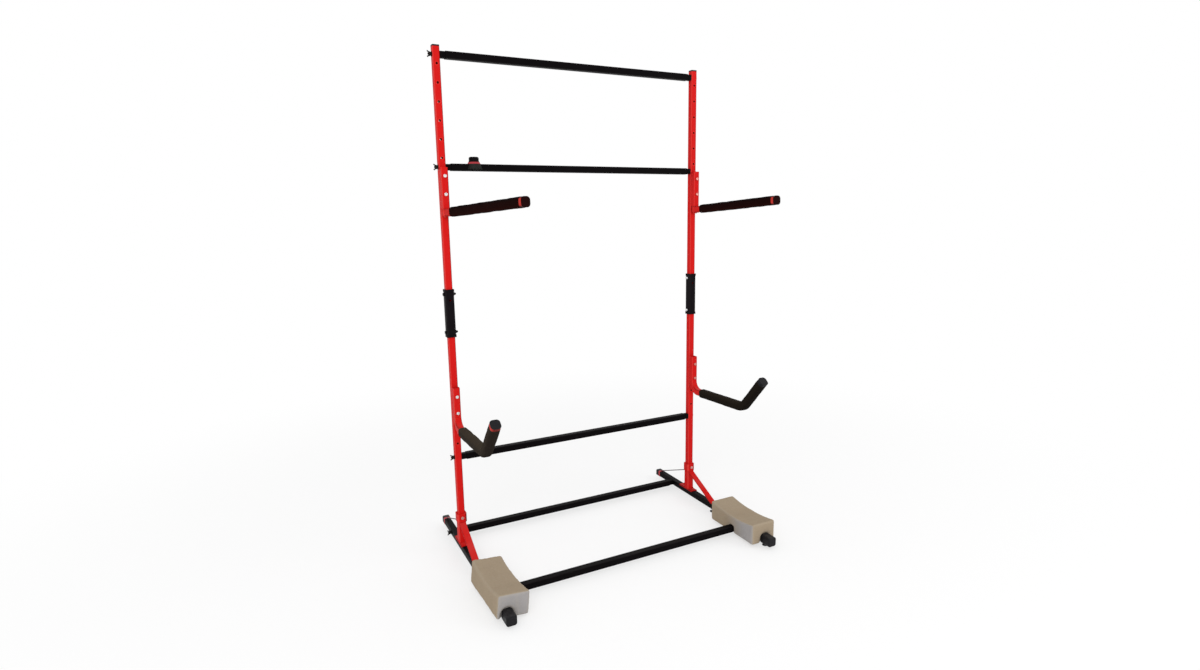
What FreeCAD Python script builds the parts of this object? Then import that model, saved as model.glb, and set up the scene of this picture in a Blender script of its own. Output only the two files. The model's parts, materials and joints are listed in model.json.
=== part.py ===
import FreeCAD, Part
import math
import os

# A free-standing kayak stand: two square-tube uprights on forked base legs, joined by crossbars,
# with two straight swinging arms above, two hooked arms below and a foam block on each leg.
# Millimetres. X runs along the crossbars, -Y is the front where the kayaks lie, Z is up.
# The origin is on the floor, under the middle of the legs' length.

# Overall sizes
stand_height = 1890.0
upright_spacing = 1076.0
leg_front_reach = 575.0
leg_rear_reach = 264.0

# Square tube of the uprights, crossbars, legs and arms
tube_width = 25.4
tube_wall = 1.8
tube_corner = 3.0
least_corner = 0.6

# Crossbar heights and places
top_bar_drop = 30.0
second_bar_height = 1480.0
lower_bar_height = 395.0
rear_bar_setback = 124.0
front_bar_inset = 176.0
bar_neck = 20.0
plug_seat = 24.0
plug_clearance = 0.1

# Adjustment holes in the uprights' front faces
hole_pitch = 63.5
upper_hole_drop = 61.5
upper_hole_count = 8
lower_hole_start = 451.7
lower_hole_count = 4
bolt_clearance = 0.2

# Joint between the upper and lower uprights
joint_height = 954.0
sleeve_length = 178.0
sleeve_wall = 3.9
sleeve_clearance = 0.15
sleeve_rim_width = 9.0
sleeve_rim_step = 1.3
sleeve_bolt_inset = 18.0
sleeve_hole_offset = 49.0

# Base: legs, sockets, saddles and braces
leg_height = 30.0
saddle_wall = 3.0
saddle_skirt = 2.0
saddle_front = 44.0
saddle_rear = 54.0
saddle_clearance = 0.15
saddle_round = 2.4
socket_wall = 3.0
socket_top = 165.0
collar_height = 33.0
collar_step = 3.2
collar_bolt_height = 150.0
brace_drop = 4.1
brace_foot_reach = 187.6
brace_thickness = 5.0
brace_corner = 1.0
stay_radius = 2.0
stay_top_height = 127.0
cap_lip = 6.0
front_cap_wall = 6.0
front_cap_corner = 9.0
front_cap_round = 5.0
front_cap_gap = 0.5
rear_cap_length = 22.0
rear_cap_wall = 1.4
rear_cap_corner = 5.0
rear_cap_round = 1.4
ring_width = 11.0
ring_wall = 1.2

# Feet under the legs
front_foot_inset = 44.0
middle_foot_reach = 185.0
rear_foot_inset = 84.0
foot_radius = 11.0
foot_thickness = 5.0
foot_stud_radius = 4.0

# Bolts, nuts and wing nuts
bolt_radius = 4.0
hex_across = 11.0
hex_chamfer = 0.4
hex_chamfer_angle = 30.0
head_height = 5.3
nut_height = 6.5
thread_end = 3.0
washer_radius = 8.5
washer_thickness = 1.6
wing_gap = 0.2
wing_bore_clearance = 0.05
wing_hub_radius = 6.6
wing_hub_nose = 5.2
wing_hub_height = 8.0
wing_tip_out = 12.5
wing_tip_up = 11.5
wing_tip_radius = 2.5
wing_thickness = 2.4
stud_end = 12.0

# Foam sleeves, rings and caps of the arms
pad_width = 36.0
upper_pad_width = 34.0
pad_corner = 12.0
pad_bore_clearance = 0.1
arm_ring_width = 13.0
arm_ring_inset = 1.5
arm_ring_corner = 11.0
arm_cap_length = 2.6
arm_cap_inset = 0.5
arm_cap_corner = 12.0
arm_cap_round = 2.0

# Upper arms: a bolted bracket with a knuckle that swings on an upright pin
bracket_top_margin = 30.0
bracket_bottom_margin = 50.0
bearing_plate = 3.0
knuckle_radius = 12.3
knuckle_height = 25.8
knuckle_gap = 0.3
arm_weld_start = 8.6
arm_bore_start = 19.7
pin_radius = 5.0
pin_clearance = 0.05
pin_head_radius = 9.0
pin_head_height = 4.0
pin_nut_height = 6.0
upper_arm_reach = 513.0
upper_arm_tilt = 3.1
upper_arm_axis_drop = 14.6
upper_pad_start = 54.0
upper_bolt_index = 0
left_arm_swing = 13.0
right_arm_swing = 0.0

# Hooked lower arms
hook_top_margin = 33.0
hook_bolt_index = 2
hook_run_height = 519.0
hook_run_tilt = 1.9
hook_run_reach = 378.0
hook_tip_angle = 49.0
hook_tip_length = 177.0
hook_root_bend = 46.0
hook_tip_bend = 58.0
hook_pad_start = 96.0

# Foam blocks on the legs
block_width = 114.0
block_inset = 9.0
block_front_inset = 43.0
block_length = 270.0
block_bottom = 13.0
block_top = 98.0
block_saddle_depth = 14.0
block_edge = 5.0
block_gap = 0.3
block_pocket_radius = 10.0
block_pocket_depth = 8.0
notch_depth = 8.0
notch_clearance = 6.0
left_block_lean = 6.0
left_block_turn = 2.0
right_block_lean = 0.0
right_block_turn = 0.0

# Clip-on stop on the second crossbar
stop_place = -419.0
stop_cap_radius = 18.0
stop_cap_height = 14.0
stop_cap_round = 5.0
stop_band_radius = 24.0
stop_band_height = 11.0
stop_skirt_radius = 31.0
stop_skirt_height = 20.0
stop_flute_radius = 4.0
stop_flute_count = 16
stop_gap = 0.1

# Plugs in the uprights' tops
top_plug_flange = 5.0
top_plug_depth = 15.0

# Places worked out from the sizes above
half_tube = tube_width / 2
tube_bore = tube_width - 2 * tube_wall
bore_corner = max(tube_corner - tube_wall, least_corner)
upright_y = (leg_front_reach - leg_rear_reach) / 2
side_x = {"left": -upright_spacing / 2, "right": upright_spacing / 2}
outward = {"left": -1.0, "right": 1.0}
leg_top = leg_height + half_tube
leg_bottom = leg_height - half_tube
saddle_top = leg_top + saddle_wall
arm_y = -tube_width
socket_span = tube_width + 2 * (sleeve_clearance + socket_wall)
collar_span = socket_span + 2 * collar_step
upright_top = stand_height - top_plug_flange
upper_hole_start = stand_height - upper_hole_drop - hole_pitch * (upper_hole_count - 1)
upper_holes = [upper_hole_start + hole_pitch * i for i in range(upper_hole_count)]
lower_holes = [lower_hole_start + hole_pitch * i for i in range(lower_hole_count)]
upper_bolts = upper_holes[upper_bolt_index:upper_bolt_index + 2]
hook_bolts = lower_holes[hook_bolt_index:hook_bolt_index + 2]
bracket_top = upper_bolts[1] + bracket_top_margin
bracket_bottom = upper_bolts[0] - bracket_bottom_margin
hook_top = hook_bolts[1] + hook_top_margin
knuckle_top = bracket_bottom - knuckle_gap
front_bar_reach = leg_front_reach - front_bar_inset
foot_places = (front_foot_inset - leg_front_reach, -middle_foot_reach, leg_rear_reach - rear_foot_inset)
block_front = leg_front_reach - block_front_inset
block_rear = block_front - block_length
bars = {
    "top_bar": (0.0, stand_height - top_bar_drop),
    "second_bar": (0.0, second_bar_height),
    "lower_bar": (0.0, lower_bar_height),
    "rear_base_bar": (rear_bar_setback, leg_height),
    "front_base_bar": (-front_bar_reach, leg_height),
}
winged_bars = ("top_bar", "second_bar", "lower_bar", "rear_base_bar")
block_lean = {"left": left_block_lean, "right": right_block_lean}
block_turn = {"left": left_block_turn, "right": right_block_turn}
front_cap_length = block_front_inset + notch_depth - front_cap_gap
leg_ends = {
    "front": (-leg_front_reach, -1, front_cap_length, front_cap_wall, front_cap_corner, front_cap_round),
    "rear": (leg_rear_reach, 1, rear_cap_length, rear_cap_wall, rear_cap_corner, rear_cap_round),
}
tiny = 0.01
nearly_along = 0.9
X = FreeCAD.Vector(1, 0, 0)
Y = FreeCAD.Vector(0, 1, 0)
Z = FreeCAD.Vector(0, 0, 1)


def at(x, y, z):
    """Point with y counted from the uprights' plane."""
    return FreeCAD.Vector(x, upright_y + y, z)


def rounded_rectangle(width, height, corner):
    """Wire round the origin in the XY plane, with rounded corners."""
    reach_x = width / 2 - corner
    reach_y = height / 2 - corner
    corners = [(reach_x, reach_y), (-reach_x, reach_y), (-reach_x, -reach_y), (reach_x, -reach_y)]
    arcs = []
    for i, (x, y) in enumerate(corners):
        circle = Part.Circle(FreeCAD.Vector(x, y, 0), Z, corner)
        turn = math.radians(90 * i)
        arcs.append(Part.ArcOfCircle(circle, turn, turn + math.pi / 2).toShape())
    edges = []
    for arc, following in zip(arcs, arcs[1:] + arcs[:1]):
        edges.append(arc)
        start = arc.Vertexes[-1].Point
        end = following.Vertexes[0].Point
        if start.distanceToPoint(end) > tiny:
            edges.append(Part.LineSegment(start, end).toShape())
    return Part.Wire(edges)


def place(shape, origin, direction, side):
    """Moves a shape drawn along +Z so that it starts at origin and runs along direction."""
    turn = FreeCAD.Rotation(side, direction.cross(side), direction, "ZXY")
    shape.Placement = FreeCAD.Placement(origin, turn)
    return shape


def side_of(direction):
    """A direction square to the given one: X, or Y for what runs along X."""
    return Y if abs(direction.x) > nearly_along else X


def bar(start, end, width, corner, height=None):
    """Solid bar of rounded rectangular section between two points."""
    direction = end.sub(start)
    length = direction.Length
    direction.normalize()
    wire = rounded_rectangle(width, height or width, corner)
    solid = Part.Face(wire).extrude(Z * length)
    return place(solid, start, direction, side_of(direction))


def tube(start, end, width=tube_width, wall=tube_wall, corner=tube_corner):
    """Hollow square tube between two points."""
    inner = bar(start, end, width - 2 * wall, max(corner - wall, least_corner))
    return bar(start, end, width, corner).cut(inner)


def rod(start, end, radius):
    """Round bar between two points."""
    direction = end.sub(start)
    return Part.makeCylinder(radius, direction.Length, start, direction)


def box(x0, x1, y0, y1, z0, z1):
    """Block between limits, with y counted from the uprights' plane."""
    return Part.makeBox(x1 - x0, y1 - y0, z1 - z0, at(x0, y0, z0))


def bent_path(points, radii):
    """Wire through the points, with an arc of the given radius at each inner one."""
    edges = []
    last = points[0]
    for before, corner, after, radius in zip(points, points[1:], points[2:], radii):
        back = before.sub(corner).normalize()
        onward = after.sub(corner).normalize()
        half_turn = (math.pi - back.getAngle(onward)) / 2
        reach = radius * math.tan(half_turn)
        start = corner + back * reach
        end = corner + onward * reach
        inward = (back + onward).normalize()
        middle = corner + inward * (radius / math.cos(half_turn) - radius)
        edges.append(Part.LineSegment(last, start).toShape())
        edges.append(Part.Arc(start, middle, end).toShape())
        last = end
    edges.append(Part.LineSegment(last, points[-1]).toShape())
    return Part.Wire(edges)


def swept(points, radii, width, corner):
    """Solid of rounded square section along a bent path that lies square to X."""
    direction = points[1].sub(points[0]).normalize()
    profile = place(rounded_rectangle(width, width, corner), points[0], direction, X)
    return Part.makeSolid(bent_path(points, radii).makePipeShell([profile], True, False))


def hexagon(start, direction, height, bore=0.0):
    """Hexagonal head or nut with chamfered corners."""
    corner = hex_across / math.sqrt(3)
    points = []
    for i in range(7):
        turn = math.radians(60 * i)
        points.append(FreeCAD.Vector(corner * math.cos(turn), corner * math.sin(turn), 0))
    prism = Part.Face(Part.makePolygon(points)).extrude(Z * height)
    top_radius = hex_across / 2 - hex_chamfer
    spread = height / math.tan(math.radians(hex_chamfer_angle))
    head = prism.common(Part.makeCone(top_radius + spread, top_radius, height))
    if bore:
        head = head.cut(Part.makeCylinder(bore, height))
    return place(head, start, direction, side_of(direction))


def bolt(face, direction, shank):
    """Hex bolt: its head stands on the face against direction, its shank goes into the part."""
    head = hexagon(face, direction * -1, head_height)
    return head.fuse(rod(face, face + direction * shank, bolt_radius))


def edges_at(solid, point, direction):
    """The solid's edges that lie in the plane through the point, square to the direction."""
    return [e for e in solid.Edges if abs((e.CenterOfMass - point).dot(direction)) < tiny]


def group(shapes):
    """Separate solids that share one name."""
    return Part.makeCompound(shapes)


def mirrored_pair(build):
    """The same group of solids on both sides."""
    return group([build(side) for side in side_x])


def cut_all(solid, cutters):
    """A solid less several others."""
    for cutter in cutters:
        solid = solid.cut(cutter)
    return solid


def bar_bolt_path(name, side, inner, outer):
    """Bolt-hole cylinder through the upright or leg at a crossbar's end."""
    y, z = bars[name]
    x = side_x[side]
    reach = outward[side]
    return rod(at(x - reach * inner, y, z), at(x + reach * outer, y, z), bolt_radius + bolt_clearance)


def front_holes(side, heights):
    """Cylinders through an upright from front to back, at the given heights."""
    x = side_x[side]
    radius = bolt_radius + bolt_clearance
    return [rod(at(x, -tube_width, z), at(x, tube_width, z), radius) for z in heights]


def sleeve_bolt_heights():
    """Heights of the two bolts through a joint sleeve."""
    offset = sleeve_length / 2 - sleeve_bolt_inset
    return [joint_height - offset, joint_height + offset]


def side_holes(side, heights):
    """Cylinders through an upright from side to side, at the given heights."""
    x = side_x[side]
    radius = bolt_radius + bolt_clearance
    return [rod(at(x - tube_width, 0, z), at(x + tube_width, 0, z), radius) for z in heights]


def upper_upright(side):
    x = side_x[side]
    post = tube(at(x, 0, joint_height), at(x, 0, upright_top))
    cutters = front_holes(side, upper_holes + [joint_height + sleeve_hole_offset])
    cutters += side_holes(side, sleeve_bolt_heights()[1:])
    cutters += [bar_bolt_path(name, side, half_tube, half_tube) for name in ("top_bar", "second_bar")]
    return cut_all(post, cutters)


def lower_upright(side):
    x = side_x[side]
    post = tube(at(x, 0, saddle_top), at(x, 0, joint_height))
    cutters = front_holes(side, lower_holes + [collar_bolt_height])
    cutters += side_holes(side, sleeve_bolt_heights()[:1])
    cutters.append(bar_bolt_path("lower_bar", side, half_tube, half_tube))
    return cut_all(post, cutters)


def joint_sleeve(side):
    x = side_x[side]
    low = joint_height - sleeve_length / 2
    high = joint_height + sleeve_length / 2
    span = tube_width + 2 * (sleeve_clearance + sleeve_wall)
    rim_span = span + 2 * sleeve_rim_step
    body = bar(at(x, 0, low), at(x, 0, high), span, tube_corner + sleeve_wall)
    for z in (low, high - sleeve_rim_width):
        rim = bar(at(x, 0, z), at(x, 0, z + sleeve_rim_width), rim_span, tube_corner + sleeve_wall)
        body = body.fuse(rim)
    bore_span = tube_width + 2 * sleeve_clearance
    bore = bar(at(x, 0, low), at(x, 0, high), bore_span, tube_corner + sleeve_clearance)
    hole_z = joint_height + sleeve_hole_offset
    window = rod(at(x, -rim_span, hole_z), at(x, 0, hole_z), bolt_radius + bolt_clearance)
    return cut_all(body, [bore, window] + side_holes(side, sleeve_bolt_heights()))


def socket_half():
    return socket_span / 2


def base_socket(side):
    x = side_x[side]
    body = bar(at(x, 0, saddle_top), at(x, 0, socket_top), socket_span, tube_corner + socket_wall)
    bore_span = tube_width + 2 * sleeve_clearance
    bore = bar(at(x, 0, saddle_top), at(x, 0, socket_top), bore_span, tube_corner + sleeve_clearance)
    return cut_all(body, [bore] + front_holes(side, [collar_bolt_height]))


def socket_collar(side):
    x = side_x[side]
    low = socket_top - collar_height
    corner = tube_corner + socket_wall
    band = bar(at(x, 0, low), at(x, 0, socket_top), collar_span, corner + collar_step)
    seat = bar(at(x, 0, low), at(x, 0, socket_top), socket_span, corner)
    return cut_all(band, [seat] + front_holes(side, [collar_bolt_height]))


def base_saddle(side):
    """Channel that wraps the top of the leg under the socket."""
    x = side_x[side]
    half = half_tube + saddle_clearance + saddle_wall
    hollow = half_tube + saddle_clearance
    channel = box(x - half, x + half, -saddle_front, saddle_rear, leg_top - saddle_skirt, saddle_top)
    top_edges = edges_at(channel, at(x, 0, saddle_top), Z)
    long_edges = [e for e in top_edges if abs(e.tangentAt(0).y) > nearly_along]
    channel = channel.makeFillet(saddle_round, long_edges)
    inside = box(x - hollow, x + hollow, -2 * saddle_front, 2 * saddle_rear, 0, leg_top)
    return channel.cut(inside)


def base_brace(side):
    """Sloping flat bar from the socket's front down to the leg's top."""
    x = side_x[side]
    top = socket_top - collar_height - brace_drop
    foot = at(x, -brace_foot_reach, leg_top)
    head = at(x, -socket_half(), top)
    along = head.sub(foot).normalize() * (2 * tube_width)
    sloping = bar(foot - along, head + along, tube_width, brace_corner, brace_thickness)
    wide = 3 * tube_width
    behind = box(x - wide, x + wide, -socket_half(), stand_height, 0, stand_height)
    below = box(x - wide, x + wide, -leg_front_reach, wide, -wide, leg_top)
    over_saddle = box(x - wide, x + wide, -saddle_front, wide, 0, saddle_top)
    return cut_all(sloping, [behind, below, over_saddle])


def foot_hole(x, y):
    return rod(at(x, y, 0), at(x, y, leg_height), foot_stud_radius)


def base_leg(side):
    x = side_x[side]
    front = -leg_front_reach + cap_lip
    rear = leg_rear_reach - cap_lip
    leg = tube(at(x, front, leg_height), at(x, rear, leg_height))
    cutters = [foot_hole(x, y) for y in foot_places]
    for name in ("rear_base_bar", "front_base_bar"):
        cutters.append(bar_bolt_path(name, side, half_tube, half_tube))
    return cut_all(leg, cutters)


def leg_end_cap(side, end):
    """Cap that closes a leg's end and wraps its last stretch."""
    x = side_x[side]
    tip_y, outward_y, length, wall, corner, rounding = leg_ends[end]
    tip = at(x, tip_y, leg_height)
    mouth = at(x, tip_y - outward_y * length, leg_height)
    shell = bar(tip, mouth, tube_width + 2 * wall, corner)
    shell = shell.makeFillet(rounding, edges_at(shell, tip, Y))
    seat = bar(at(x, tip_y - outward_y * cap_lip, leg_height), mouth, tube_width, tube_corner)
    return cut_all(shell, [seat, foot_hole(x, foot_places[0])])


def leg_ring(side):
    x = side_x[side]
    start = at(x, leg_rear_reach - rear_cap_length, leg_height)
    end = at(x, leg_rear_reach - rear_cap_length - ring_width, leg_height)
    span = tube_width + 2 * ring_wall
    return bar(start, end, span, tube_corner + ring_wall).cut(bar(start, end, tube_width, tube_corner))


def stay_rod(side):
    """Thin stay from the leg's ring up to the socket's rear face."""
    x = side_x[side]
    low = at(x, leg_rear_reach - rear_cap_length - ring_width / 2, leg_top + ring_wall)
    high = at(x, socket_half(), stay_top_height)
    along = high.sub(low).normalize() * (3 * stay_radius)
    stay = rod(low - along, high + along, stay_radius)
    below = box(x - tube_width, x + tube_width, 0, 2 * leg_rear_reach, 0, leg_top + ring_wall)
    inside = box(x - tube_width, x + tube_width, -tube_width, socket_half(), 0, stand_height)
    return cut_all(stay, [below, inside])


def foot_pads():
    pads = []
    for x in side_x.values():
        for y in foot_places:
            pads.append(Part.makeCylinder(foot_radius, foot_thickness, at(x, y, 0)))
    return group(pads)


def foot_studs():
    studs = []
    for x in side_x.values():
        for y in foot_places:
            studs.append(rod(at(x, y, foot_thickness), at(x, y, leg_height), foot_stud_radius))
    return group(studs)


def bar_start(side):
    """Place along X where a crossbar's tube ends, past its neck."""
    return side_x[side] - outward[side] * (half_tube + bar_neck)


def crossbar(name):
    y, z = bars[name]
    return tube(at(bar_start("left"), y, z), at(bar_start("right"), y, z))


def bar_end_plug(name, side):
    """Narrower plug that joins a crossbar's end to the upright or leg."""
    y, z = bars[name]
    reach = outward[side]
    face = side_x[side] - reach * half_tube
    inner = face - reach * (bar_neck + plug_seat)
    span = tube_bore - 2 * plug_clearance
    body = bar(at(face, y, z), at(inner, y, z), span, bore_corner)
    return body.cut(rod(at(face, y, z), at(inner, y, z), bolt_radius))


def bar_end_plugs():
    return group([bar_end_plug(name, side) for name in bars for side in side_x])


def bolt_into_plug():
    """Length of bolt from the outer face of the upright into the plug."""
    return tube_width + bar_neck


def bar_bolts():
    """Hex bolts of the right ends, and of both ends of the front base bar."""
    bolts = []
    for name, (y, z) in bars.items():
        for side in side_x:
            if side == "left" and name in winged_bars:
                continue
            face = at(side_x[side] + outward[side] * half_tube, y, z)
            bolts.append(bolt(face, X * -outward[side], bolt_into_plug()))
    return group(bolts)


def stud_face():
    return side_x["left"] - half_tube


def bar_studs():
    """Threaded studs of the left ends, for the wing nuts."""
    studs = []
    for name in winged_bars:
        y, z = bars[name]
        outer = stud_face() - washer_thickness - stud_end
        studs.append(rod(at(outer, y, z), at(stud_face() + bolt_into_plug(), y, z), bolt_radius))
    return group(studs)


def stud_washers():
    washers = []
    for name in winged_bars:
        y, z = bars[name]
        inner = at(stud_face(), y, z)
        outer = at(stud_face() - washer_thickness, y, z)
        washers.append(rod(inner, outer, washer_radius).cut(rod(inner, outer, bolt_radius)))
    return group(washers)


def wing_nut(name):
    """Wing nut with two splayed wings, running on the stud."""
    y, z = bars[name]
    foot = at(stud_face() - washer_thickness - wing_gap, y, z)
    hub = Part.makeCone(wing_hub_radius, wing_hub_nose, wing_hub_height, foot, X * -1)
    for up in (1, -1):
        root = foot + X * -(wing_hub_height / 2) + Z * (up * wing_hub_nose)
        tip = foot + X * -wing_tip_out + Z * (up * (wing_tip_up - wing_tip_radius))
        start = root - Y * (wing_thickness / 2)
        along = tip.sub(root)
        across = along.cross(Y).normalize() * wing_tip_radius
        corners = [start - across, start + across, start + along + across, start + along - across]
        blade = Part.Face(Part.makePolygon(corners + corners[:1])).extrude(Y * wing_thickness)
        tip_round = Part.makeCylinder(wing_tip_radius, wing_thickness, start + along, Y)
        hub = hub.fuse(blade).fuse(tip_round)
    bore = rod(foot + X * wing_hub_height, foot - X * (3 * wing_hub_height),
               bolt_radius + wing_bore_clearance)
    return hub.cut(bore).removeSplitter()


def sleeve_bolts():
    """Bolts across the joint sleeves, with their nuts towards the middle of the stand."""
    half = half_tube + sleeve_clearance + sleeve_wall
    bolts = []
    for side, x in side_x.items():
        reach = outward[side]
        for z in sleeve_bolt_heights():
            bolts.append(bolt(at(x + reach * half, 0, z), X * -reach, 2 * half + nut_height + thread_end))
    return bolts


def collar_bolts():
    bolts = []
    for x in side_x.values():
        face = at(x, -collar_span / 2, collar_bolt_height)
        bolts.append(bolt(face, Y, collar_span + nut_height + thread_end))
    return bolts


def frame_bolts():
    return group(sleeve_bolts() + collar_bolts())


def arm_bolts():
    """Bolts that clamp each arm's bracket to the upright."""
    bolts = []
    for x in side_x.values():
        for z in upper_bolts + hook_bolts:
            bolts.append(bolt(at(x, arm_y - half_tube, z), Y, 2 * tube_width + nut_height + thread_end))
    return group(bolts)


def lock_nuts():
    """Nuts of the arm, sleeve and collar bolts."""
    half = half_tube + sleeve_clearance + sleeve_wall
    nuts = []
    for side, x in side_x.items():
        reach = outward[side]
        for z in sleeve_bolt_heights():
            nuts.append(hexagon(at(x - reach * half, 0, z), X * -reach, nut_height, bolt_radius))
        nuts.append(hexagon(at(x, collar_span / 2, collar_bolt_height), Y, nut_height, bolt_radius))
        for z in upper_bolts + hook_bolts:
            nuts.append(hexagon(at(x, half_tube, z), Y, nut_height, bolt_radius))
    return group(nuts)


def top_plug(side):
    x = side_x[side]
    flange = bar(at(x, 0, upright_top), at(x, 0, stand_height), tube_width, tube_corner)
    span = tube_bore - 2 * plug_clearance
    stem = bar(at(x, 0, upright_top - top_plug_depth), at(x, 0, upright_top), span, bore_corner)
    return flange.fuse(stem)


def upper_bracket(side):
    """Upright piece of an upper arm, closed below by the plate that the knuckle turns on."""
    x = side_x[side]
    body = tube(at(x, arm_y, bracket_bottom), at(x, arm_y, bracket_top))
    plate_top = bracket_bottom + bearing_plate
    plate = bar(at(x, arm_y, bracket_bottom), at(x, arm_y, plate_top), tube_width, tube_corner)
    pin_path = rod(at(x, arm_y, bracket_bottom), at(x, arm_y, plate_top), pin_radius)
    radius = bolt_radius + bolt_clearance
    holes = [rod(at(x, arm_y - tube_width, z), at(x, 0, z), radius) for z in upper_bolts]
    return cut_all(body.fuse(plate), [pin_path] + holes)


def swivel_pin(side):
    """Pin of an upper arm: head below the knuckle, nut inside the bracket."""
    x = side_x[side]
    head_top = knuckle_top - knuckle_height - knuckle_gap
    nut_base = bracket_bottom + bearing_plate
    shank = rod(at(x, arm_y, head_top), at(x, arm_y, nut_base), pin_radius)
    head = rod(at(x, arm_y, head_top - pin_head_height), at(x, arm_y, head_top), pin_head_radius)
    nut = rod(at(x, arm_y, nut_base), at(x, arm_y, nut_base + pin_nut_height), pin_head_radius)
    return shank.fuse(head).fuse(nut)


def upper_arm_frame(side):
    """Pivot point of an upper arm and the direction it points in."""
    swing = math.radians({"left": left_arm_swing, "right": right_arm_swing}[side])
    tilt = math.radians(upper_arm_tilt)
    pivot = at(side_x[side], arm_y, bracket_bottom - upper_arm_axis_drop)
    inward = -outward[side]
    direction = FreeCAD.Vector(inward * math.sin(swing) * math.cos(tilt),
                               -math.cos(swing) * math.cos(tilt), math.sin(tilt))
    side_way = FreeCAD.Vector(math.cos(swing), inward * math.sin(swing), 0)
    return pivot, direction, side_way


def arm_piece(side, start, end, width, corner):
    """Straight piece along an upper arm between two distances from its pivot."""
    pivot, direction, side_way = upper_arm_frame(side)
    solid = Part.Face(rounded_rectangle(width, width, corner)).extrude(Z * (end - start))
    return place(solid, pivot + direction * start, direction, side_way)


def upper_ends():
    """Distances along an upper arm of the ring's start, the cap's start and the cap's end."""
    cap_start = upper_arm_reach - arm_cap_length
    return cap_start - arm_ring_width, cap_start, upper_arm_reach


def upper_arm_tube(side):
    """Arm tube with the round knuckle that turns on the pin."""
    x = side_x[side]
    tube_end = upper_arm_reach - arm_cap_length / 2
    outer = arm_piece(side, arm_weld_start, tube_end, tube_width, tube_corner)
    hollow = arm_piece(side, arm_bore_start, tube_end, tube_bore, bore_corner)
    base = at(x, arm_y, knuckle_top - knuckle_height)
    knuckle = Part.makeCylinder(knuckle_radius, knuckle_height, base)
    bore = Part.makeCylinder(pin_radius + pin_clearance, 3 * knuckle_height,
                             base - Z * knuckle_height)
    above = box(x - tube_width, x + tube_width, arm_y - tube_width, arm_y + tube_width, knuckle_top,
                bracket_top)
    return cut_all(outer.cut(hollow).fuse(knuckle), [bore, above])


def upper_arm_pad(side):
    ring_start = upper_ends()[0]
    sleeve = arm_piece(side, upper_pad_start, ring_start, upper_pad_width, pad_corner)
    span = tube_width + 2 * pad_bore_clearance
    return sleeve.cut(arm_piece(side, upper_pad_start, ring_start, span, tube_corner))


def upper_arm_ring(side):
    start, end = upper_ends()[:2]
    ring = arm_piece(side, start, end, upper_pad_width - arm_ring_inset, arm_ring_corner)
    return ring.cut(arm_piece(side, start, end, tube_width, tube_corner))


def upper_arm_cap(side):
    start, end = upper_ends()[1:]
    cap = arm_piece(side, start, end, upper_pad_width - arm_cap_inset, arm_cap_corner)
    pivot, direction = upper_arm_frame(side)[:2]
    cap = cap.makeFillet(arm_cap_round, edges_at(cap, pivot + direction * end, direction))
    return cap.cut(arm_piece(side, start, upper_arm_reach - arm_cap_length / 2, tube_width, tube_corner))


def hook_points(side):
    """Centre line of a hooked arm: top of its bracket, root, start of its tip, end."""
    x = side_x[side]
    tilt = math.radians(hook_run_tilt)
    rise = (hook_run_reach + arm_y) * math.tan(tilt)
    tip = math.radians(hook_tip_angle)
    corner_z = hook_run_height + rise
    end_y = -hook_run_reach - hook_tip_length * math.cos(tip)
    end_z = corner_z + hook_tip_length * math.sin(tip)
    return [at(x, arm_y, hook_top), at(x, arm_y, hook_run_height),
            at(x, -hook_run_reach, corner_z), at(x, end_y, end_z)]


def hook_tip_point(side, from_end):
    """Point on a hooked arm's tip, at a distance from its end, and the tip's direction."""
    corner, end = hook_points(side)[2:]
    direction = end.sub(corner).normalize()
    return end - direction * from_end, direction


def hook_arm(side):
    """Bent tube of a lower arm: its top stretch is bolted to the upright."""
    x = side_x[side]
    points = hook_points(side)
    points[3] = hook_tip_point(side, arm_cap_length / 2)[0]
    radii = [hook_root_bend, hook_tip_bend]
    body = swept(points, radii, tube_width, tube_corner)
    body = body.cut(swept(points, radii, tube_bore, bore_corner))
    radius = bolt_radius + bolt_clearance
    holes = [rod(at(x, arm_y - tube_width, z), at(x, 0, z), radius) for z in hook_bolts]
    return cut_all(body, holes)


def hook_pad(side):
    """Foam sleeve along a hooked arm, from behind its root bend to its ring."""
    points = hook_points(side)
    run = points[2].sub(points[1]).normalize()
    start = points[1] + run * ((hook_pad_start + arm_y) / abs(run.y))
    end = hook_tip_point(side, arm_cap_length + arm_ring_width)[0]
    route = [start, points[2], end]
    outer = swept(route, [hook_tip_bend], pad_width, pad_corner)
    bore_span = tube_width + 2 * pad_bore_clearance
    return outer.cut(swept(route, [hook_tip_bend], bore_span, tube_corner))


def hook_ring(side):
    start, direction = hook_tip_point(side, arm_cap_length + arm_ring_width)
    end = start + direction * arm_ring_width
    ring = bar(start, end, pad_width - arm_ring_inset, arm_ring_corner)
    return ring.cut(bar(start, end, tube_width, tube_corner))


def hook_cap(side):
    start, direction = hook_tip_point(side, arm_cap_length)
    end = start + direction * arm_cap_length
    cap = bar(start, end, pad_width - arm_cap_inset, arm_cap_corner)
    cap = cap.makeFillet(arm_cap_round, edges_at(cap, end, direction))
    return cap.cut(bar(start, start + direction * (arm_cap_length / 2), tube_width, tube_corner))


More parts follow.
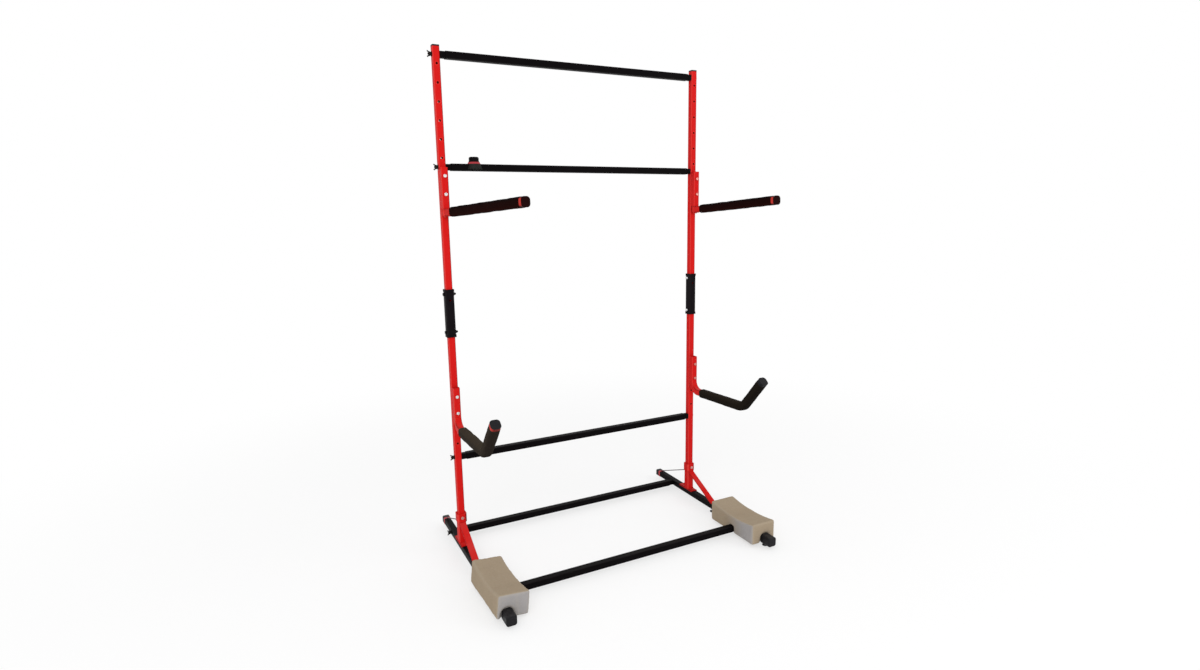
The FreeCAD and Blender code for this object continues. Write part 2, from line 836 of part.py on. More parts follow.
def foam_block(side):
    """Block over the leg with a hollowed top, open below for the leg, its cap and the front crossbar.
    It may lean and turn on its leg, and its outermost corner keeps its place."""
    reach = outward[side]
    leg_x = side_x[side]
    x = leg_x - reach * block_inset
    half = block_width / 2
    body = box(x - half, x + half, -block_front, -block_rear, block_bottom, block_top)
    hollow_radius = ((block_length / 2) ** 2 + block_saddle_depth ** 2) / (2 * block_saddle_depth)
    middle = -(block_front + block_rear) / 2
    hollow_z = block_top - block_saddle_depth + hollow_radius
    hollow = Part.makeCylinder(hollow_radius, 2 * block_width, at(x - block_width, middle, hollow_z), X)
    upright_edges = [e for e in body.Edges if abs(e.tangentAt(0).z) > nearly_along]
    body = body.makeFillet(block_edge, upright_edges).cut(hollow)
    centre = at(x, middle, (block_bottom + block_top) / 2)
    body.rotate(centre, Y, block_lean[side])
    body.rotate(centre, Z, block_turn[side])
    outermost = body.BoundBox.XMax if reach > 0 else body.BoundBox.XMin
    body.translate(X * (x + reach * half - outermost))
    groove = half_tube + block_gap
    leg_slot = box(leg_x - groove, leg_x + groove, -leg_front_reach, 0, 0, leg_top + block_gap)
    inner_x = x - reach * block_width
    low_x, high_x = sorted((leg_x, inner_x))
    bar_slot = box(low_x, high_x, -front_bar_reach - groove, -front_bar_reach + groove, 0,
                   leg_top + block_gap)
    pocket_start = at(leg_x, -front_bar_reach, leg_height)
    pocket_end = pocket_start + X * (reach * (groove + block_pocket_depth))
    pocket = rod(pocket_start, pocket_end, block_pocket_radius)
    pocket_mouth = box(*sorted((pocket_start.x, pocket_end.x)), -front_bar_reach - block_pocket_radius,
                       -front_bar_reach + block_pocket_radius, 0, leg_height)
    notch_radius = half_tube + front_cap_wall + notch_clearance
    notch_end = notch_depth - block_front
    notch = rod(at(leg_x, -leg_front_reach, leg_height), at(leg_x, notch_end, leg_height), notch_radius)
    notch_mouth = box(leg_x - notch_radius, leg_x + notch_radius, -leg_front_reach, notch_end, 0, leg_height)
    return cut_all(body, [leg_slot, bar_slot, pocket, pocket_mouth, notch, notch_mouth])


def stop_bar_room():
    """Room for the second crossbar inside the stop's pieces."""
    half = half_tube + stop_gap
    z = second_bar_height
    reach = 2 * stop_skirt_radius
    return box(stop_place - reach, stop_place + reach, -half, half, z - reach, z + half)


def stop_skirt():
    """Fluted skirt of the bar stop, straddling the crossbar."""
    low = second_bar_height + half_tube + stop_gap - stop_skirt_height
    skirt = Part.makeCone(stop_skirt_radius, stop_band_radius, stop_skirt_height, at(stop_place, 0, low))
    flutes = []
    for i in range(stop_flute_count):
        turn = 2 * math.pi * (i + 0.5) / stop_flute_count
        rim = at(stop_place + stop_skirt_radius * math.cos(turn), stop_skirt_radius * math.sin(turn), low)
        flutes.append(Part.makeSphere(stop_flute_radius, rim))
    return cut_all(skirt, flutes + [stop_bar_room()])


def stop_band():
    low = second_bar_height + half_tube + stop_gap
    return Part.makeCone(stop_band_radius, stop_cap_radius, stop_band_height, at(stop_place, 0, low))


def stop_cap():
    low = second_bar_height + half_tube + stop_gap + stop_band_height
    cap = Part.makeCylinder(stop_cap_radius, stop_cap_height, at(stop_place, 0, low))
    return cap.makeFillet(stop_cap_round, edges_at(cap, at(stop_place, 0, low + stop_cap_height), Z))


def build():
    """Every named piece of the stand."""
    nodes = {}
    for side in side_x:
        nodes["upper_upright_" + side] = upper_upright(side)
        nodes["lower_upright_" + side] = lower_upright(side)
        nodes["joint_sleeve_" + side] = joint_sleeve(side)
        nodes["base_socket_" + side] = base_socket(side)
        nodes["socket_collar_" + side] = socket_collar(side)
        nodes["base_saddle_" + side] = base_saddle(side)
        nodes["base_brace_" + side] = base_brace(side)
        nodes["base_leg_" + side] = base_leg(side)
        nodes["foam_block_" + side] = foam_block(side)
        nodes["upper_bracket_" + side] = upper_bracket(side)
        nodes["upper_arm_tube_" + side] = upper_arm_tube(side)
        nodes["upper_arm_pad_" + side] = upper_arm_pad(side)
        nodes["upper_arm_ring_" + side] = upper_arm_ring(side)
        nodes["upper_arm_cap_" + side] = upper_arm_cap(side)
        nodes["hook_arm_" + side] = hook_arm(side)
        nodes["hook_arm_pad_" + side] = hook_pad(side)
    for name in bars:
        nodes[name] = crossbar(name)
    for name in winged_bars:
        nodes["wing_nut_" + name] = wing_nut(name)
    nodes["leg_end_caps"] = group([leg_end_cap(side, end) for side in side_x for end in leg_ends])
    nodes["leg_rings"] = mirrored_pair(leg_ring)
    nodes["stay_rods"] = mirrored_pair(stay_rod)
    nodes["foot_pads"] = foot_pads()
    nodes["foot_studs"] = foot_studs()
    nodes["bar_end_plugs"] = bar_end_plugs()
    nodes["bar_bolts"] = bar_bolts()
    nodes["bar_studs"] = bar_studs()
    nodes["stud_washers"] = stud_washers()
    nodes["frame_bolts"] = frame_bolts()
    nodes["arm_bolts"] = arm_bolts()
    nodes["lock_nuts"] = lock_nuts()
    nodes["upright_top_plugs"] = mirrored_pair(top_plug)
    nodes["swivel_pins"] = mirrored_pair(swivel_pin)
    nodes["hook_arm_rings"] = mirrored_pair(hook_ring)
    nodes["hook_arm_caps"] = mirrored_pair(hook_cap)
    nodes["bar_stop_skirt"] = stop_skirt()
    nodes["bar_stop_band"] = stop_band()
    nodes["bar_stop_cap"] = stop_cap()
    return nodes


os.makedirs("parts", exist_ok=True)
for node, shape in build().items():
    shape.exportStep("parts/" + node + ".step")
    print(node, len(shape.Solids), shape.isValid(), round(shape.Volume))
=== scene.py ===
"""Looks of the kayak stand: foam, fasteners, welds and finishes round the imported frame, in metres."""

import json
import math

import bmesh
import bpy
import numpy as np
from bpy.props import FloatProperty, FloatVectorProperty, IntProperty, PointerProperty
from mathutils import Matrix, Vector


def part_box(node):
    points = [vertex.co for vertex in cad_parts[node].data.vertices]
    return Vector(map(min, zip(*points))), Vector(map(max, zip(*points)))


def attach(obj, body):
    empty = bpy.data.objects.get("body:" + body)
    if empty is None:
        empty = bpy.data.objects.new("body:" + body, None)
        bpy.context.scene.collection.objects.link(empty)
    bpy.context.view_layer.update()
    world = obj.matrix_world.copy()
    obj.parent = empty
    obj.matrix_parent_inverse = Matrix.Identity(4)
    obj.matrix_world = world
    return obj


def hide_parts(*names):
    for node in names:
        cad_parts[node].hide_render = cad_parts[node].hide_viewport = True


bl_info = {
    "name": "Kayak stand looks",
    "version": (1, 0, 0),
    "blender": (4, 5, 0),
    "location": "3D View > Sidebar > Kayak stand",
    "description": "Adds foam, fasteners, welds and finishes to the packed kayak stand",
    "category": "Object",
}

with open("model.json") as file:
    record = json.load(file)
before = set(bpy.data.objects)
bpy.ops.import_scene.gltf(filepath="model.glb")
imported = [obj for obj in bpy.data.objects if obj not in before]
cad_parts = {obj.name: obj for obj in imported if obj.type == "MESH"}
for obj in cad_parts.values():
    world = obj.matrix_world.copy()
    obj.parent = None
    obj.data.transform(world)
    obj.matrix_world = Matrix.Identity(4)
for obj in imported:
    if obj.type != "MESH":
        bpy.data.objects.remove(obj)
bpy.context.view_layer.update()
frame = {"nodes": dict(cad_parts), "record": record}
SIDES = {"left": -1.0, "right": 1.0}
UPRIGHT_LOW, UPRIGHT_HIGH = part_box("lower_upright_right")
LEG_LOW, LEG_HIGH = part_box("base_leg_right")
X, Y, Z = np.eye(3)
SLEEVE_STEP = 0.0024    # distance between a foam sleeve's rings
SLEEVE_POINTS = 104     # points round a foam sleeve, apart from its slit
ROUND_POINTS = 72       # points round bolts, nuts, hubs and feet
WING_POINTS = 40        # points round a wing
BEAD_STEP = 0.0006      # distance between a weld bead's rings
BEAD_POINTS = 14        # points round a weld bead
SMOOTHING_PASSES = 40   # passes that soften a foam block's edges
EDGE_MOVE = 0.0009      # how far the smoothing moves a point that counts as an edge
FLOOR_REACH = 40.0      # half the width of the floor


def length(name, description, default):
    return FloatProperty(name=name, description=description, default=default, unit="LENGTH", precision=5)


def angle(name, description, degrees):
    return FloatProperty(name=name, description=description, default=math.radians(degrees), subtype="ANGLE")


def share(name, description, default):
    return FloatProperty(name=name, description=description, default=default, min=0.0, max=1.0,
                         subtype="FACTOR")


def number(name, description, default):
    return IntProperty(name=name, description=description, default=default, min=1)


def colour(name, description, default):
    return FloatVectorProperty(name=name, description=description, default=default, min=0.0, max=1.0,
                               size=3, subtype="COLOR")


def position(name, description, default):
    return FloatVectorProperty(name=name, description=description, default=default, size=3, unit="LENGTH")


class StandSizes(bpy.types.PropertyGroup):
    """Where the frame's tubes stand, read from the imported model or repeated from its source."""

    side_x: length("Upright place", "Distance of each upright from the middle",
                   (UPRIGHT_LOW.x + UPRIGHT_HIGH.x) / 2)
    upright_y: length("Upright plane", "Depth of the uprights' plane", (UPRIGHT_LOW.y + UPRIGHT_HIGH.y) / 2)
    half_tube: length("Half tube", "Half the width of the tube", (UPRIGHT_HIGH.x - UPRIGHT_LOW.x) / 2)
    leg_top: length("Leg top", "Height of the legs' top faces", LEG_HIGH.z)
    saddle_top: length("Saddle top", "Height of the saddles' top faces", UPRIGHT_LOW.z)
    socket_half: length("Socket half", "Half the width of the base sockets", 0.01585)
    socket_corner: length("Socket corner", "Corner radius of the base sockets", 0.006)
    collar_half: length("Collar half", "Half the width of the collars", 0.01905)
    collar_bolt: length("Collar bolt height", "Height of the collars' bolts", 0.150)
    sleeve_half: length("Sleeve half", "Half the width of the joint sleeves", 0.01675)
    sleeve_middle: length("Joint height", "Height of the uprights' joints", 0.954)
    sleeve_bolt_offset: length("Sleeve bolt offset", "Sleeve bolts above and below the joint", 0.071)
    brace_head: length("Brace head", "Height where the brace meets the socket", 0.1279)
    brace_foot: length("Brace foot", "Distance from upright to brace foot", 0.1876)
    brace_thickness: length("Brace thickness", "Thickness of the flat braces", 0.005)
    hole_pitch: length("Hole pitch", "Distance between adjustment holes", 0.0635)
    upper_hole: length("Upper hole", "Height of the lowest upper hole", 1.384)
    upper_holes: number("Upper holes", "Spare holes of an upper upright", 8)
    lower_hole: length("Lower hole", "Height of the lowest lower hole", 0.4517)
    lower_holes: number("Lower holes", "Spare holes of a lower upright", 4)
    arm_drop: length("Arm plane", "Distance of the arms' brackets in front of the uprights", 0.0254)


class FoamSizes(bpy.types.PropertyGroup):
    """Sizes of the foam sleeves and blocks."""

    hook_half: length("Hooked sleeve half", "Half the width of the hooked arms' sleeves", 0.018)
    upper_half: length("Upper sleeve half", "Half the width of the upper arms' sleeves", 0.017)
    corner: length("Sleeve corner", "Corner radius of the sleeves", 0.012)
    bore_half: length("Bore half", "Half the width of the sleeves' bore", 0.0128)
    bore_corner: length("Bore corner", "Corner radius of the bore", 0.003)
    rim: length("Rim radius", "Rounding of the sleeves' ends", 0.0028)
    upper_start: length("Upper sleeve start", "Distance of the sleeve from the swivel pin", 0.054)
    upper_end: length("Upper sleeve end", "Distance of the sleeve's end from the swivel pin", 0.4974)
    upper_axis: length("Upper arm height", "Height of the upper arms at their pins", 1.3194)
    upper_tilt: angle("Upper arm tilt", "Rise of the upper arms towards their tips", 3.1)
    left_swing: angle("Left arm swing", "Turn of the left upper arm at rest, inwards", 13.0)
    right_swing: angle("Right arm swing", "Turn of the right upper arm at rest, inwards", 0.0)
    hook_start: length("Hooked sleeve start", "Distance of the sleeve in front of the uprights", 0.096)
    hook_height: length("Hooked arm height", "Height of the hooked arms at their roots", 0.519)
    hook_reach: length("Hooked arm reach", "Distance of the arms' bend in front of the uprights", 0.378)
    hook_tilt: angle("Hooked arm tilt", "Rise of the hooked arms' runs", 1.9)
    tip_angle: angle("Tip angle", "Rise of the hooked arms' tips", 49.0)
    tip_length: length("Tip length", "Length of a tip up to its foam's end", 0.1614)
    bend_radius: length("Bend radius", "Radius of the bend before the tip", 0.058)
    lump: length("Lumps", "Height of the foam's slow unevenness", 0.00045)
    wrinkle: length("Wrinkles", "Depth of the creases inside the bend", 0.0011)
    wrinkle_count: number("Wrinkle count", "Creases inside the bend", 6)
    seam: length("Seam", "Depth of the glued slit under each sleeve", 0.0007)
    voxel: length("Block grain", "Mesh size of the foam blocks", 0.002)
    block_dent: length("Block dents", "Depth of the blocks' unevenness", 0.0011)


class FastenerSizes(bpy.types.PropertyGroup):
    """Sizes of the bolts, nuts, studs, wing nuts, feet and weld beads."""

    bolt_radius: length("Bolt radius", "Radius of bolts and studs", 0.004)
    across: length("Across flats", "Width of hexagon heads and nuts", 0.011)
    head_height: length("Head height", "Height of bolt heads", 0.0053)
    nut_height: length("Nut height", "Height of lock nuts", 0.0065)
    thread_end: length("Thread end", "Bolt that stands out of its nut", 0.003)
    pitch: length("Thread pitch", "Advance of the thread in one turn", 0.00125)
    thread_depth: length("Thread depth", "Depth of the thread", 0.0006)
    washer: length("Washer", "Thickness of the studs' washers", 0.0016)
    wing_gap: length("Wing nut gap", "Space between washer and wing nut", 0.0002)
    stud_end: length("Stud end", "Stud that stands out of its washer", 0.012)
    plug_depth: length("Plug depth", "Reach of bar bolts past the upright", 0.0454)
    foot_radius: length("Foot radius", "Radius of the foot pads", 0.011)
    foot_height: length("Foot height", "Thickness of the foot pads", 0.005)
    front_foot: length("Front foot", "Depth of the front feet", -0.3755)
    middle_foot: length("Middle foot", "Depth of the middle feet", -0.0295)
    rear_foot: length("Rear foot", "Depth of the rear feet", 0.3355)
    leg_height: length("Leg height", "Height of the legs' middle", 0.030)
    bead: length("Weld bead", "Radius of the weld beads", 0.0019)
    bead_ripple: length("Weld ripple", "Distance between ripples of a bead", 0.0026)


class FinishColours(bpy.types.PropertyGroup):
    """Colours of the finishes."""

    red: colour("Red coat", "Powder coat of the frame", (0.575, 0.0095, 0.0085))
    # Painted shade: the dark red put on the tubes' corners.
    red_corner_shade: colour("Red edge", "Thin coat on the tubes' corners", (0.13, 0.003, 0.003))
    red_patch: colour("Red patches", "Brighter patches of the red coat", (0.70, 0.020, 0.016))
    # Painted highlight: the light red put on the tubes' front left corner.
    red_corner_highlight: colour("Rubbed red", "Red coat on the corners that are rubbed", (0.85, 0.085, 0.070))
    red_hole: colour("Red at holes", "Red coat rubbed by bolts round the holes", (0.80, 0.050, 0.040))
    red_scuff: colour("Red scuffs", "Long thin marks in the red coat", (0.80, 0.16, 0.13))
    black_scuff: colour("Black scuffs", "Long thin marks in the black coat", (0.045, 0.042, 0.042))
    black: colour("Black coat", "Coat of bars and legs", (0.0024, 0.0017, 0.0021))
    dull_bolt: colour("Dull bolts", "Reddish bolts in the right upright's arms", (0.58, 0.21, 0.18))
    black_bolt: colour("Dark bolts", "Dark bolts in the left joint sleeve", (0.012, 0.010, 0.012))
    black_edge: colour("Black edge", "Rubbed coat on the bars' corners", (0.012, 0.010, 0.011))
    sleeve_black: colour("Sleeve coat", "Coat of the joint sleeves", (0.0055, 0.0040, 0.0052))
    upper_top: colour("Upper foam top", "Upper side of the straight sleeves", (0.0032, 0.0012, 0.0011))
    # Painted reflection: the reddish underside of the straight sleeves.
    upper_under_red_reflection: colour("Upper foam underside", "Under the straight sleeves", (0.0135, 0.0018, 0.0013))
    # Partly dust, partly painted light from above: the lighter upper side of the hooked sleeves.
    hook_top_dust_and_light: colour("Hooked foam top", "Dusty upper side of the hooked sleeves", (0.042, 0.032, 0.022))
    hook_under: colour("Hooked foam underside", "Under the hooked sleeves", (0.018, 0.0135, 0.011))
    block_tan: colour("Block", "Foam blocks", (0.335, 0.265, 0.185))
    block_fleck: colour("Block flecks", "Paler flecks of the foam blocks", (0.46, 0.39, 0.31))
    block_pore: colour("Block pores", "Open cells of the foam blocks", (0.16, 0.12, 0.085))
    block_edge: colour("Block edges", "Edges of the foam blocks", (0.40, 0.35, 0.28))
    # Grey that the code puts on the left block's front and on the front part of the right block's side
    # towards -X.
    block_grey: colour("Block skin", "Cooler cut skin of the foam blocks", (0.32, 0.315, 0.325))
    zinc: colour("Zinc", "Bright plated fasteners", (0.74, 0.74, 0.76))
    dull_zinc: colour("Dull zinc", "Cast wing nuts", (0.013, 0.011, 0.010))
    stay: colour("Stay steel", "Stays between legs and collars", (0.085, 0.070, 0.075))
    plastic: colour("Black plastic", "Caps and plugs", (0.0075, 0.0070, 0.0085))
    rubber: colour("Rubber", "Foot pads", (0.008, 0.008, 0.009))
    band: colour("Arm rings", "Rings on the arms", (0.46, 0.030, 0.022))
    # Painted shade on the top and bottom of the arms' rings.
    band_edge_shade: colour("Dark of the rings", "Top and bottom of the arms' rings", (0.022, 0.0022, 0.0022))
    arm_cap: colour("Arm caps", "Caps of the straight arms", (0.010, 0.0014, 0.0014))
    # On the bar stop, the red below the band's middle is a painted highlight; on the legs the rings are red.
    leg_band: colour("Leg rings", "Rings on the legs and on the bar stop", (0.36, 0.040, 0.048))
    skirt: colour("Grey skirt", "Skirt of the bar stop", (0.012, 0.013, 0.0115))
    dust: colour("Dust", "Dust on upper faces", (0.42, 0.38, 0.34))


class StageSettings(bpy.types.PropertyGroup):
    """Camera, lamps and floor."""

    camera_place: position("Camera place", "Where the camera stands", (-1.1501, -2.2728, 1.3084))
    yaw: angle("Yaw", "Camera's turn from +Y towards +X", 26.965)
    pitch: angle("Pitch", "Camera's turn downwards", 10.334)
    roll: angle("Roll", "Camera's turn about its view", 0.869)
    lens: FloatProperty(name="Lens", description="Focal length on a 36 mm sensor", default=19.9585,
                        unit="CAMERA")
    ambient: FloatProperty(name="Ambient", description="Strength of the light from all round", default=0.80)
    key: FloatProperty(name="Key", description="Power of the front lamp", default=115.0, unit="POWER")
    key_size: length("Key size", "Width of the front lamp", 3.2)
    key_place: position("Key place", "Where the front lamp stands", (-2.6, -4.2, 3.6))
    fill: FloatProperty(name="Fill", description="Power of the side lamp", default=42.0, unit="POWER")
    fill_size: length("Fill size", "Width of the side lamp", 2.6)
    fill_place: position("Fill place", "Where the side lamp stands", (3.6, -3.2, 2.4))
    aim: length("Aim", "Height that the lamps point at", 0.8)
    floor_lift: share("Floor lift", "Plain white in the floor near the stand, for the camera", 0.60)
    floor_near: length("White starts", "Distance from the middle where the floor turns plain white", 0.9)
    floor_far: length("White floor", "Distance from the middle where the floor is plain white", 3.2)


def settings(name):
    return getattr(bpy.context.scene, "stand_" + name)


def operation(name, swapped=False):
    """Method of Value for one operator, or for its reflected form, whose sides are swapped."""
    def method(self, other):
        return self.math(name, other, self) if swapped else self.math(name, self, other)
    return method


class Value:
    """A shader socket in a Python expression: every operator adds a Math node."""

    def __init__(self, graph, socket):
        self.graph = graph
        self.socket = socket

    def math(self, name, first, second=0.0):
        return self.graph.node("ShaderNodeMath", {"operation": name}, {0: first, 1: second})

    __add__, __radd__ = operation("ADD"), operation("ADD", True)
    __sub__, __rsub__ = operation("SUBTRACT"), operation("SUBTRACT", True)
    __mul__, __rmul__ = operation("MULTIPLY"), operation("MULTIPLY", True)
    __mod__ = operation("FLOORED_MODULO")
    highest = operation("MAXIMUM")

    def __abs__(self):
        return self.math("ABSOLUTE", self)

    def root(self):
        return self.math("SQRT", self)

    def rise(self, low, high):
        """Smooth step from 0 at low to 1 at high."""
        limits = {"From Min": low, "From Max": high, "To Min": 0.0, "To Max": 1.0, "Value": self}
        return self.graph.node("ShaderNodeMapRange", {"interpolation_type": "SMOOTHSTEP"}, limits)


class Graph:
    """The nodes of one new material, or of a world."""

    def __init__(self, name, kind="materials"):
        self.owner = getattr(bpy.data, kind).new(name)
        self.owner.use_nodes = True
        self.tree = self.owner.node_tree
        self.tree.nodes.clear()

    def node(self, kind, options=None, inputs=None, output=0):
        """Adds a node: its options are set first, then each socket gets its value or link."""
        made = self.tree.nodes.new(kind)
        for option, value in (options or {}).items():
            setattr(made, option, value)
        for key, value in (inputs or {}).items():
            if isinstance(value, Value):
                self.tree.links.new(value.socket, made.inputs[key])
            else:
                made.inputs[key].default_value = value
        return Value(self, made.outputs[output]) if made.outputs else None

    def place(self):
        return self.node("ShaderNodeTexCoord", output="Object")

    def parts(self, vector):
        """The three numbers of a vector."""
        made = self.node("ShaderNodeSeparateXYZ", inputs={0: vector})
        return [Value(self, socket) for socket in made.socket.node.outputs]

    def facing(self):
        return self.parts(self.node("ShaderNodeNewGeometry", output="Normal"))

    def noise(self, scale, detail=2.0, vector=None):
        inputs = {"Scale": scale, "Detail": detail, "Vector": vector or self.place()}
        return self.node("ShaderNodeTexNoise", inputs=inputs)

    def cells(self, scale):
        """Distance to the nearest of scattered points, which looks like foam cells."""
        return self.node("ShaderNodeTexVoronoi", inputs={"Scale": scale, "Vector": self.place()})

    def stretched(self, scale):
        """Object coordinates with each axis scaled by its own amount."""
        return self.node("ShaderNodeMapping", inputs={"Vector": self.place(), "Scale": scale})

    def blend(self, factor, first, second):
        """Mixes two colours."""
        inputs = {0: factor, 6: rgba(first), 7: rgba(second)}
        return self.node("ShaderNodeMix", {"data_type": "RGBA"}, inputs, 2)

    def bump(self, height, strength, distance, normal=None):
        inputs = {"Height": height, "Strength": strength, "Distance": distance}
        if normal:
            inputs["Normal"] = normal
        return self.node("ShaderNodeBump", inputs=inputs)

    def finish(self, shader):
        self.node("ShaderNodeOutputMaterial", inputs={"Surface": shader})
        return self.owner

    def surface(self, base, roughness, normal=None, **constants):
        """Closes the material with one Principled shader."""
        inputs = {"Base Color": base, "Roughness": roughness}
        if normal:
            inputs["Normal"] = normal
        inputs.update({key.replace("_", " "): value for key, value in constants.items()})
        return self.finish(self.node("ShaderNodeBsdfPrincipled", inputs=inputs))


def rgba(value):
    return value if isinstance(value, Value) else (*value, 1.0)


def toned(tone, factor, lift=0.0):
    """A colour made darker or lighter by a factor, with a little grey added."""
    return [min(v * factor + lift, 1.0) for v in tone]


def corner_mask(graph, axis):
    """How far a point is round a tube's corner: 0 on the flats, 1 at 45 degrees. Axis is one that the
    tube's faces are square to, 0 for X or 2 for Z."""
    across = abs(graph.facing()[axis])
    flatness = across.highest((1.0 - across * across).highest(0.0).root())
    return (1.0 - flatness).rise(0.001, 0.06)


def dusted(graph, base, amount):
    """Thin dust that lies on the faces that look up."""
    up = graph.facing()[2].rise(0.55, 1.0)
    patches = graph.noise(14.0, 4.0).rise(0.35, 0.75)
    return graph.blend(up * patches * amount, base, settings("colours").dust)


def scuffs(graph, scale):
    """Long thin marks: noise drawn out along one axis, of which only the crests are left."""
    return graph.noise(1.0, 3.0, graph.stretched(scale)).rise(0.66, 0.74)


def hole_rub(graph):
    """Rub marks round the adjustment holes: rings that repeat with the holes' pitch up each upright."""
    sizes = settings("sizes")
    x, _, z = graph.parts(graph.place())
    across = abs(x) - sizes.side_x
    facing = abs(graph.facing()[1]).rise(0.8, 0.95)
    half_pitch = sizes.hole_pitch / 2
    marks = 0.0
    for first, holes in ((sizes.upper_hole, sizes.upper_holes), (sizes.lower_hole, sizes.lower_holes)):
        low, high = first - 0.02, first + (holes - 1) * sizes.hole_pitch + 0.02
        up = (z - (first - half_pitch)) % sizes.hole_pitch - half_pitch
        away = (across * across + up * up).root()
        reached = z.rise(low - 0.01, low) * (1.0 - z.rise(high, high + 0.01))
        marks = marks + (1.0 - away.rise(0.0045, 0.0088)) * reached
    return marks * facing


def red_coat(name, shade):
    """Tomato-red powder coat: orange peel, corners darkened as painted shade except the front left one, which
    gets a painted highlight, rubbed rings round the holes, light dust. A shade below 1 darkens the whole coat
    as painted shade."""
    colours = settings("colours")

    def darker(tone):
        """A light red of the shade, which leaves its green and blue alone."""
        return tone[0] * shade, tone[1], tone[2]

    graph = Graph(name)
    broad = graph.noise(3.2, 2.0)
    patchy = graph.noise(38.0, 4.0)
    red = toned(colours.red, shade)
    base = graph.blend(broad.rise(0.3, 0.7) * 0.30, red, toned(red, 0.78))
    base = graph.blend(patchy.rise(0.45, 0.85) * 0.16, base, darker(colours.red_patch))
    nx, ny, _ = graph.facing()
    # Painted highlight: this mask picks the corner between the faces that look to -X and -Y.
    rubbed = (0.0 - nx - ny).rise(1.05, 1.35)
    # Painted shade: every corner but the front left one is darkened.
    corners = corner_mask(graph, 0) * (patchy * 0.5 + 0.60)
    base = graph.blend(corners * (1.0 - rubbed), base, colours.red_corner_shade)
    # Painted highlight on that front left corner.
    base = graph.blend(corners * rubbed * 0.45, base, darker(colours.red_corner_highlight))
    base = graph.blend(hole_rub(graph) * (patchy * 0.5 + 0.1), base, darker(colours.red_hole))
    marks = scuffs(graph, (900.0, 900.0, 26.0))
    base = graph.blend(marks * 0.22, base, colours.red_scuff)
    base = dusted(graph, base, 0.06)
    peel = graph.noise(520.0, 3.0)
    rough = 0.36 + patchy * 0.14 + marks * 0.15
    return graph.surface(base, rough, graph.bump(peel, 0.30, 0.0004), Specular_IOR_Level=0.04)


def black_coat(name, tone, axis, streak):
    """Satin black coat: fine peel, rubbed corners, faint scuffs along the tube, light dust."""
    colours = settings("colours")
    graph = Graph(name)
    patchy = graph.noise(26.0, 4.0)
    base = graph.blend(patchy.rise(0.35, 0.75) * 0.5, tone, toned(tone, 1.7))
    rubbed = corner_mask(graph, axis) * (patchy * 0.8 + 0.2)
    base = graph.blend(rubbed, base, colours.black_edge)
    marks = scuffs(graph, streak)
    base = graph.blend(marks * 0.35, base, colours.black_scuff)
    base = dusted(graph, base, 0.012)
    peel = graph.noise(640.0, 3.0)
    rough = 0.38 + patchy * 0.16 - marks * 0.08
    return graph.surface(base, rough, graph.bump(peel, 0.30, 0.0004), Specular_IOR_Level=0.028)


def sleeve_foam(name, under, top):
    """Closed-cell foam of the sleeves: fine cells under a moulded skin, coloured from under to top by how far
    a face looks up: dust with painted light from above on the hooked sleeves' top, a painted red reflection
    under the straight ones.
    """
    graph = Graph(name)
    up = graph.facing()[2].rise(-0.75, 0.85)
    patchy = graph.noise(30.0, 4.0)
    # Painted light and shade: the hooked sleeves' top is lit lighter and the straight sleeves' underside
    # reddened as a reflection.
    base = graph.blend(up * (patchy * 0.7 + 0.55), under, top)
    cells = graph.cells(1150.0)
    base = graph.blend((1.0 - cells.rise(0.05, 0.42)) * 0.35, base, toned(under, 0.3))
    specks = graph.noise(420.0, 2.0).rise(0.66, 0.72)
    base = graph.blend(specks * 0.30, base, toned(top, 2.4, 0.004))
    skin = graph.bump(cells, 0.35, 0.0003)
    soft = graph.bump(graph.noise(120.0, 3.0), 0.25, 0.0006, skin)
    return graph.surface(base, 0.74 + patchy * 0.16, soft, Specular_IOR_Level=0.02)


def block_foam(side):
    """Cut foam of a block: open cells, the saw's faint lines, a cooler grey on one face, paler edges."""
    colours = settings("colours")
    graph = Graph("block_foam_" + side)
    y = graph.parts(graph.place())[1]
    nx, ny, _ = graph.facing()
    patchy = graph.noise(17.0, 5.0)
    fine = graph.noise(160.0, 3.0)
    # Grey on the left block's front, and on the front part of the right block's side towards -X.
    if side == "left":
        cool = (0.0 - ny).rise(0.35, 0.9)
    else:
        cool = (0.0 - nx).rise(0.35, 0.9) * (0.0 - y).rise(0.20, 0.33)
    base = graph.blend(cool * (patchy * 0.35 + 0.72), colours.block_tan, colours.block_grey)
    base = graph.blend(patchy.rise(0.35, 0.8) * 0.22, base, toned(colours.block_tan, 0.72))
    base = graph.blend(fine.rise(0.40, 0.80) * 0.16, base, colours.block_fleck)
    cells = graph.cells(620.0)
    pores = 1.0 - cells.rise(0.04, 0.40)
    base = graph.blend(pores * 0.28, base, colours.block_pore)
    edge = graph.node("ShaderNodeAttribute", {"attribute_name": "edge"}, output="Fac")
    base = graph.blend(edge.rise(0.25, 1.0) * (patchy * 0.30 + 0.05), base, colours.block_edge)
    saw = graph.noise(1.0, 3.0, graph.stretched((14.0, 14.0, 520.0)))
    relief = graph.bump(cells * 0.8 + fine * 0.5 + saw * 0.7, 0.55, 0.0005)
    return graph.surface(base, 0.90 + patchy * 0.08, relief, Specular_IOR_Level=0.10)


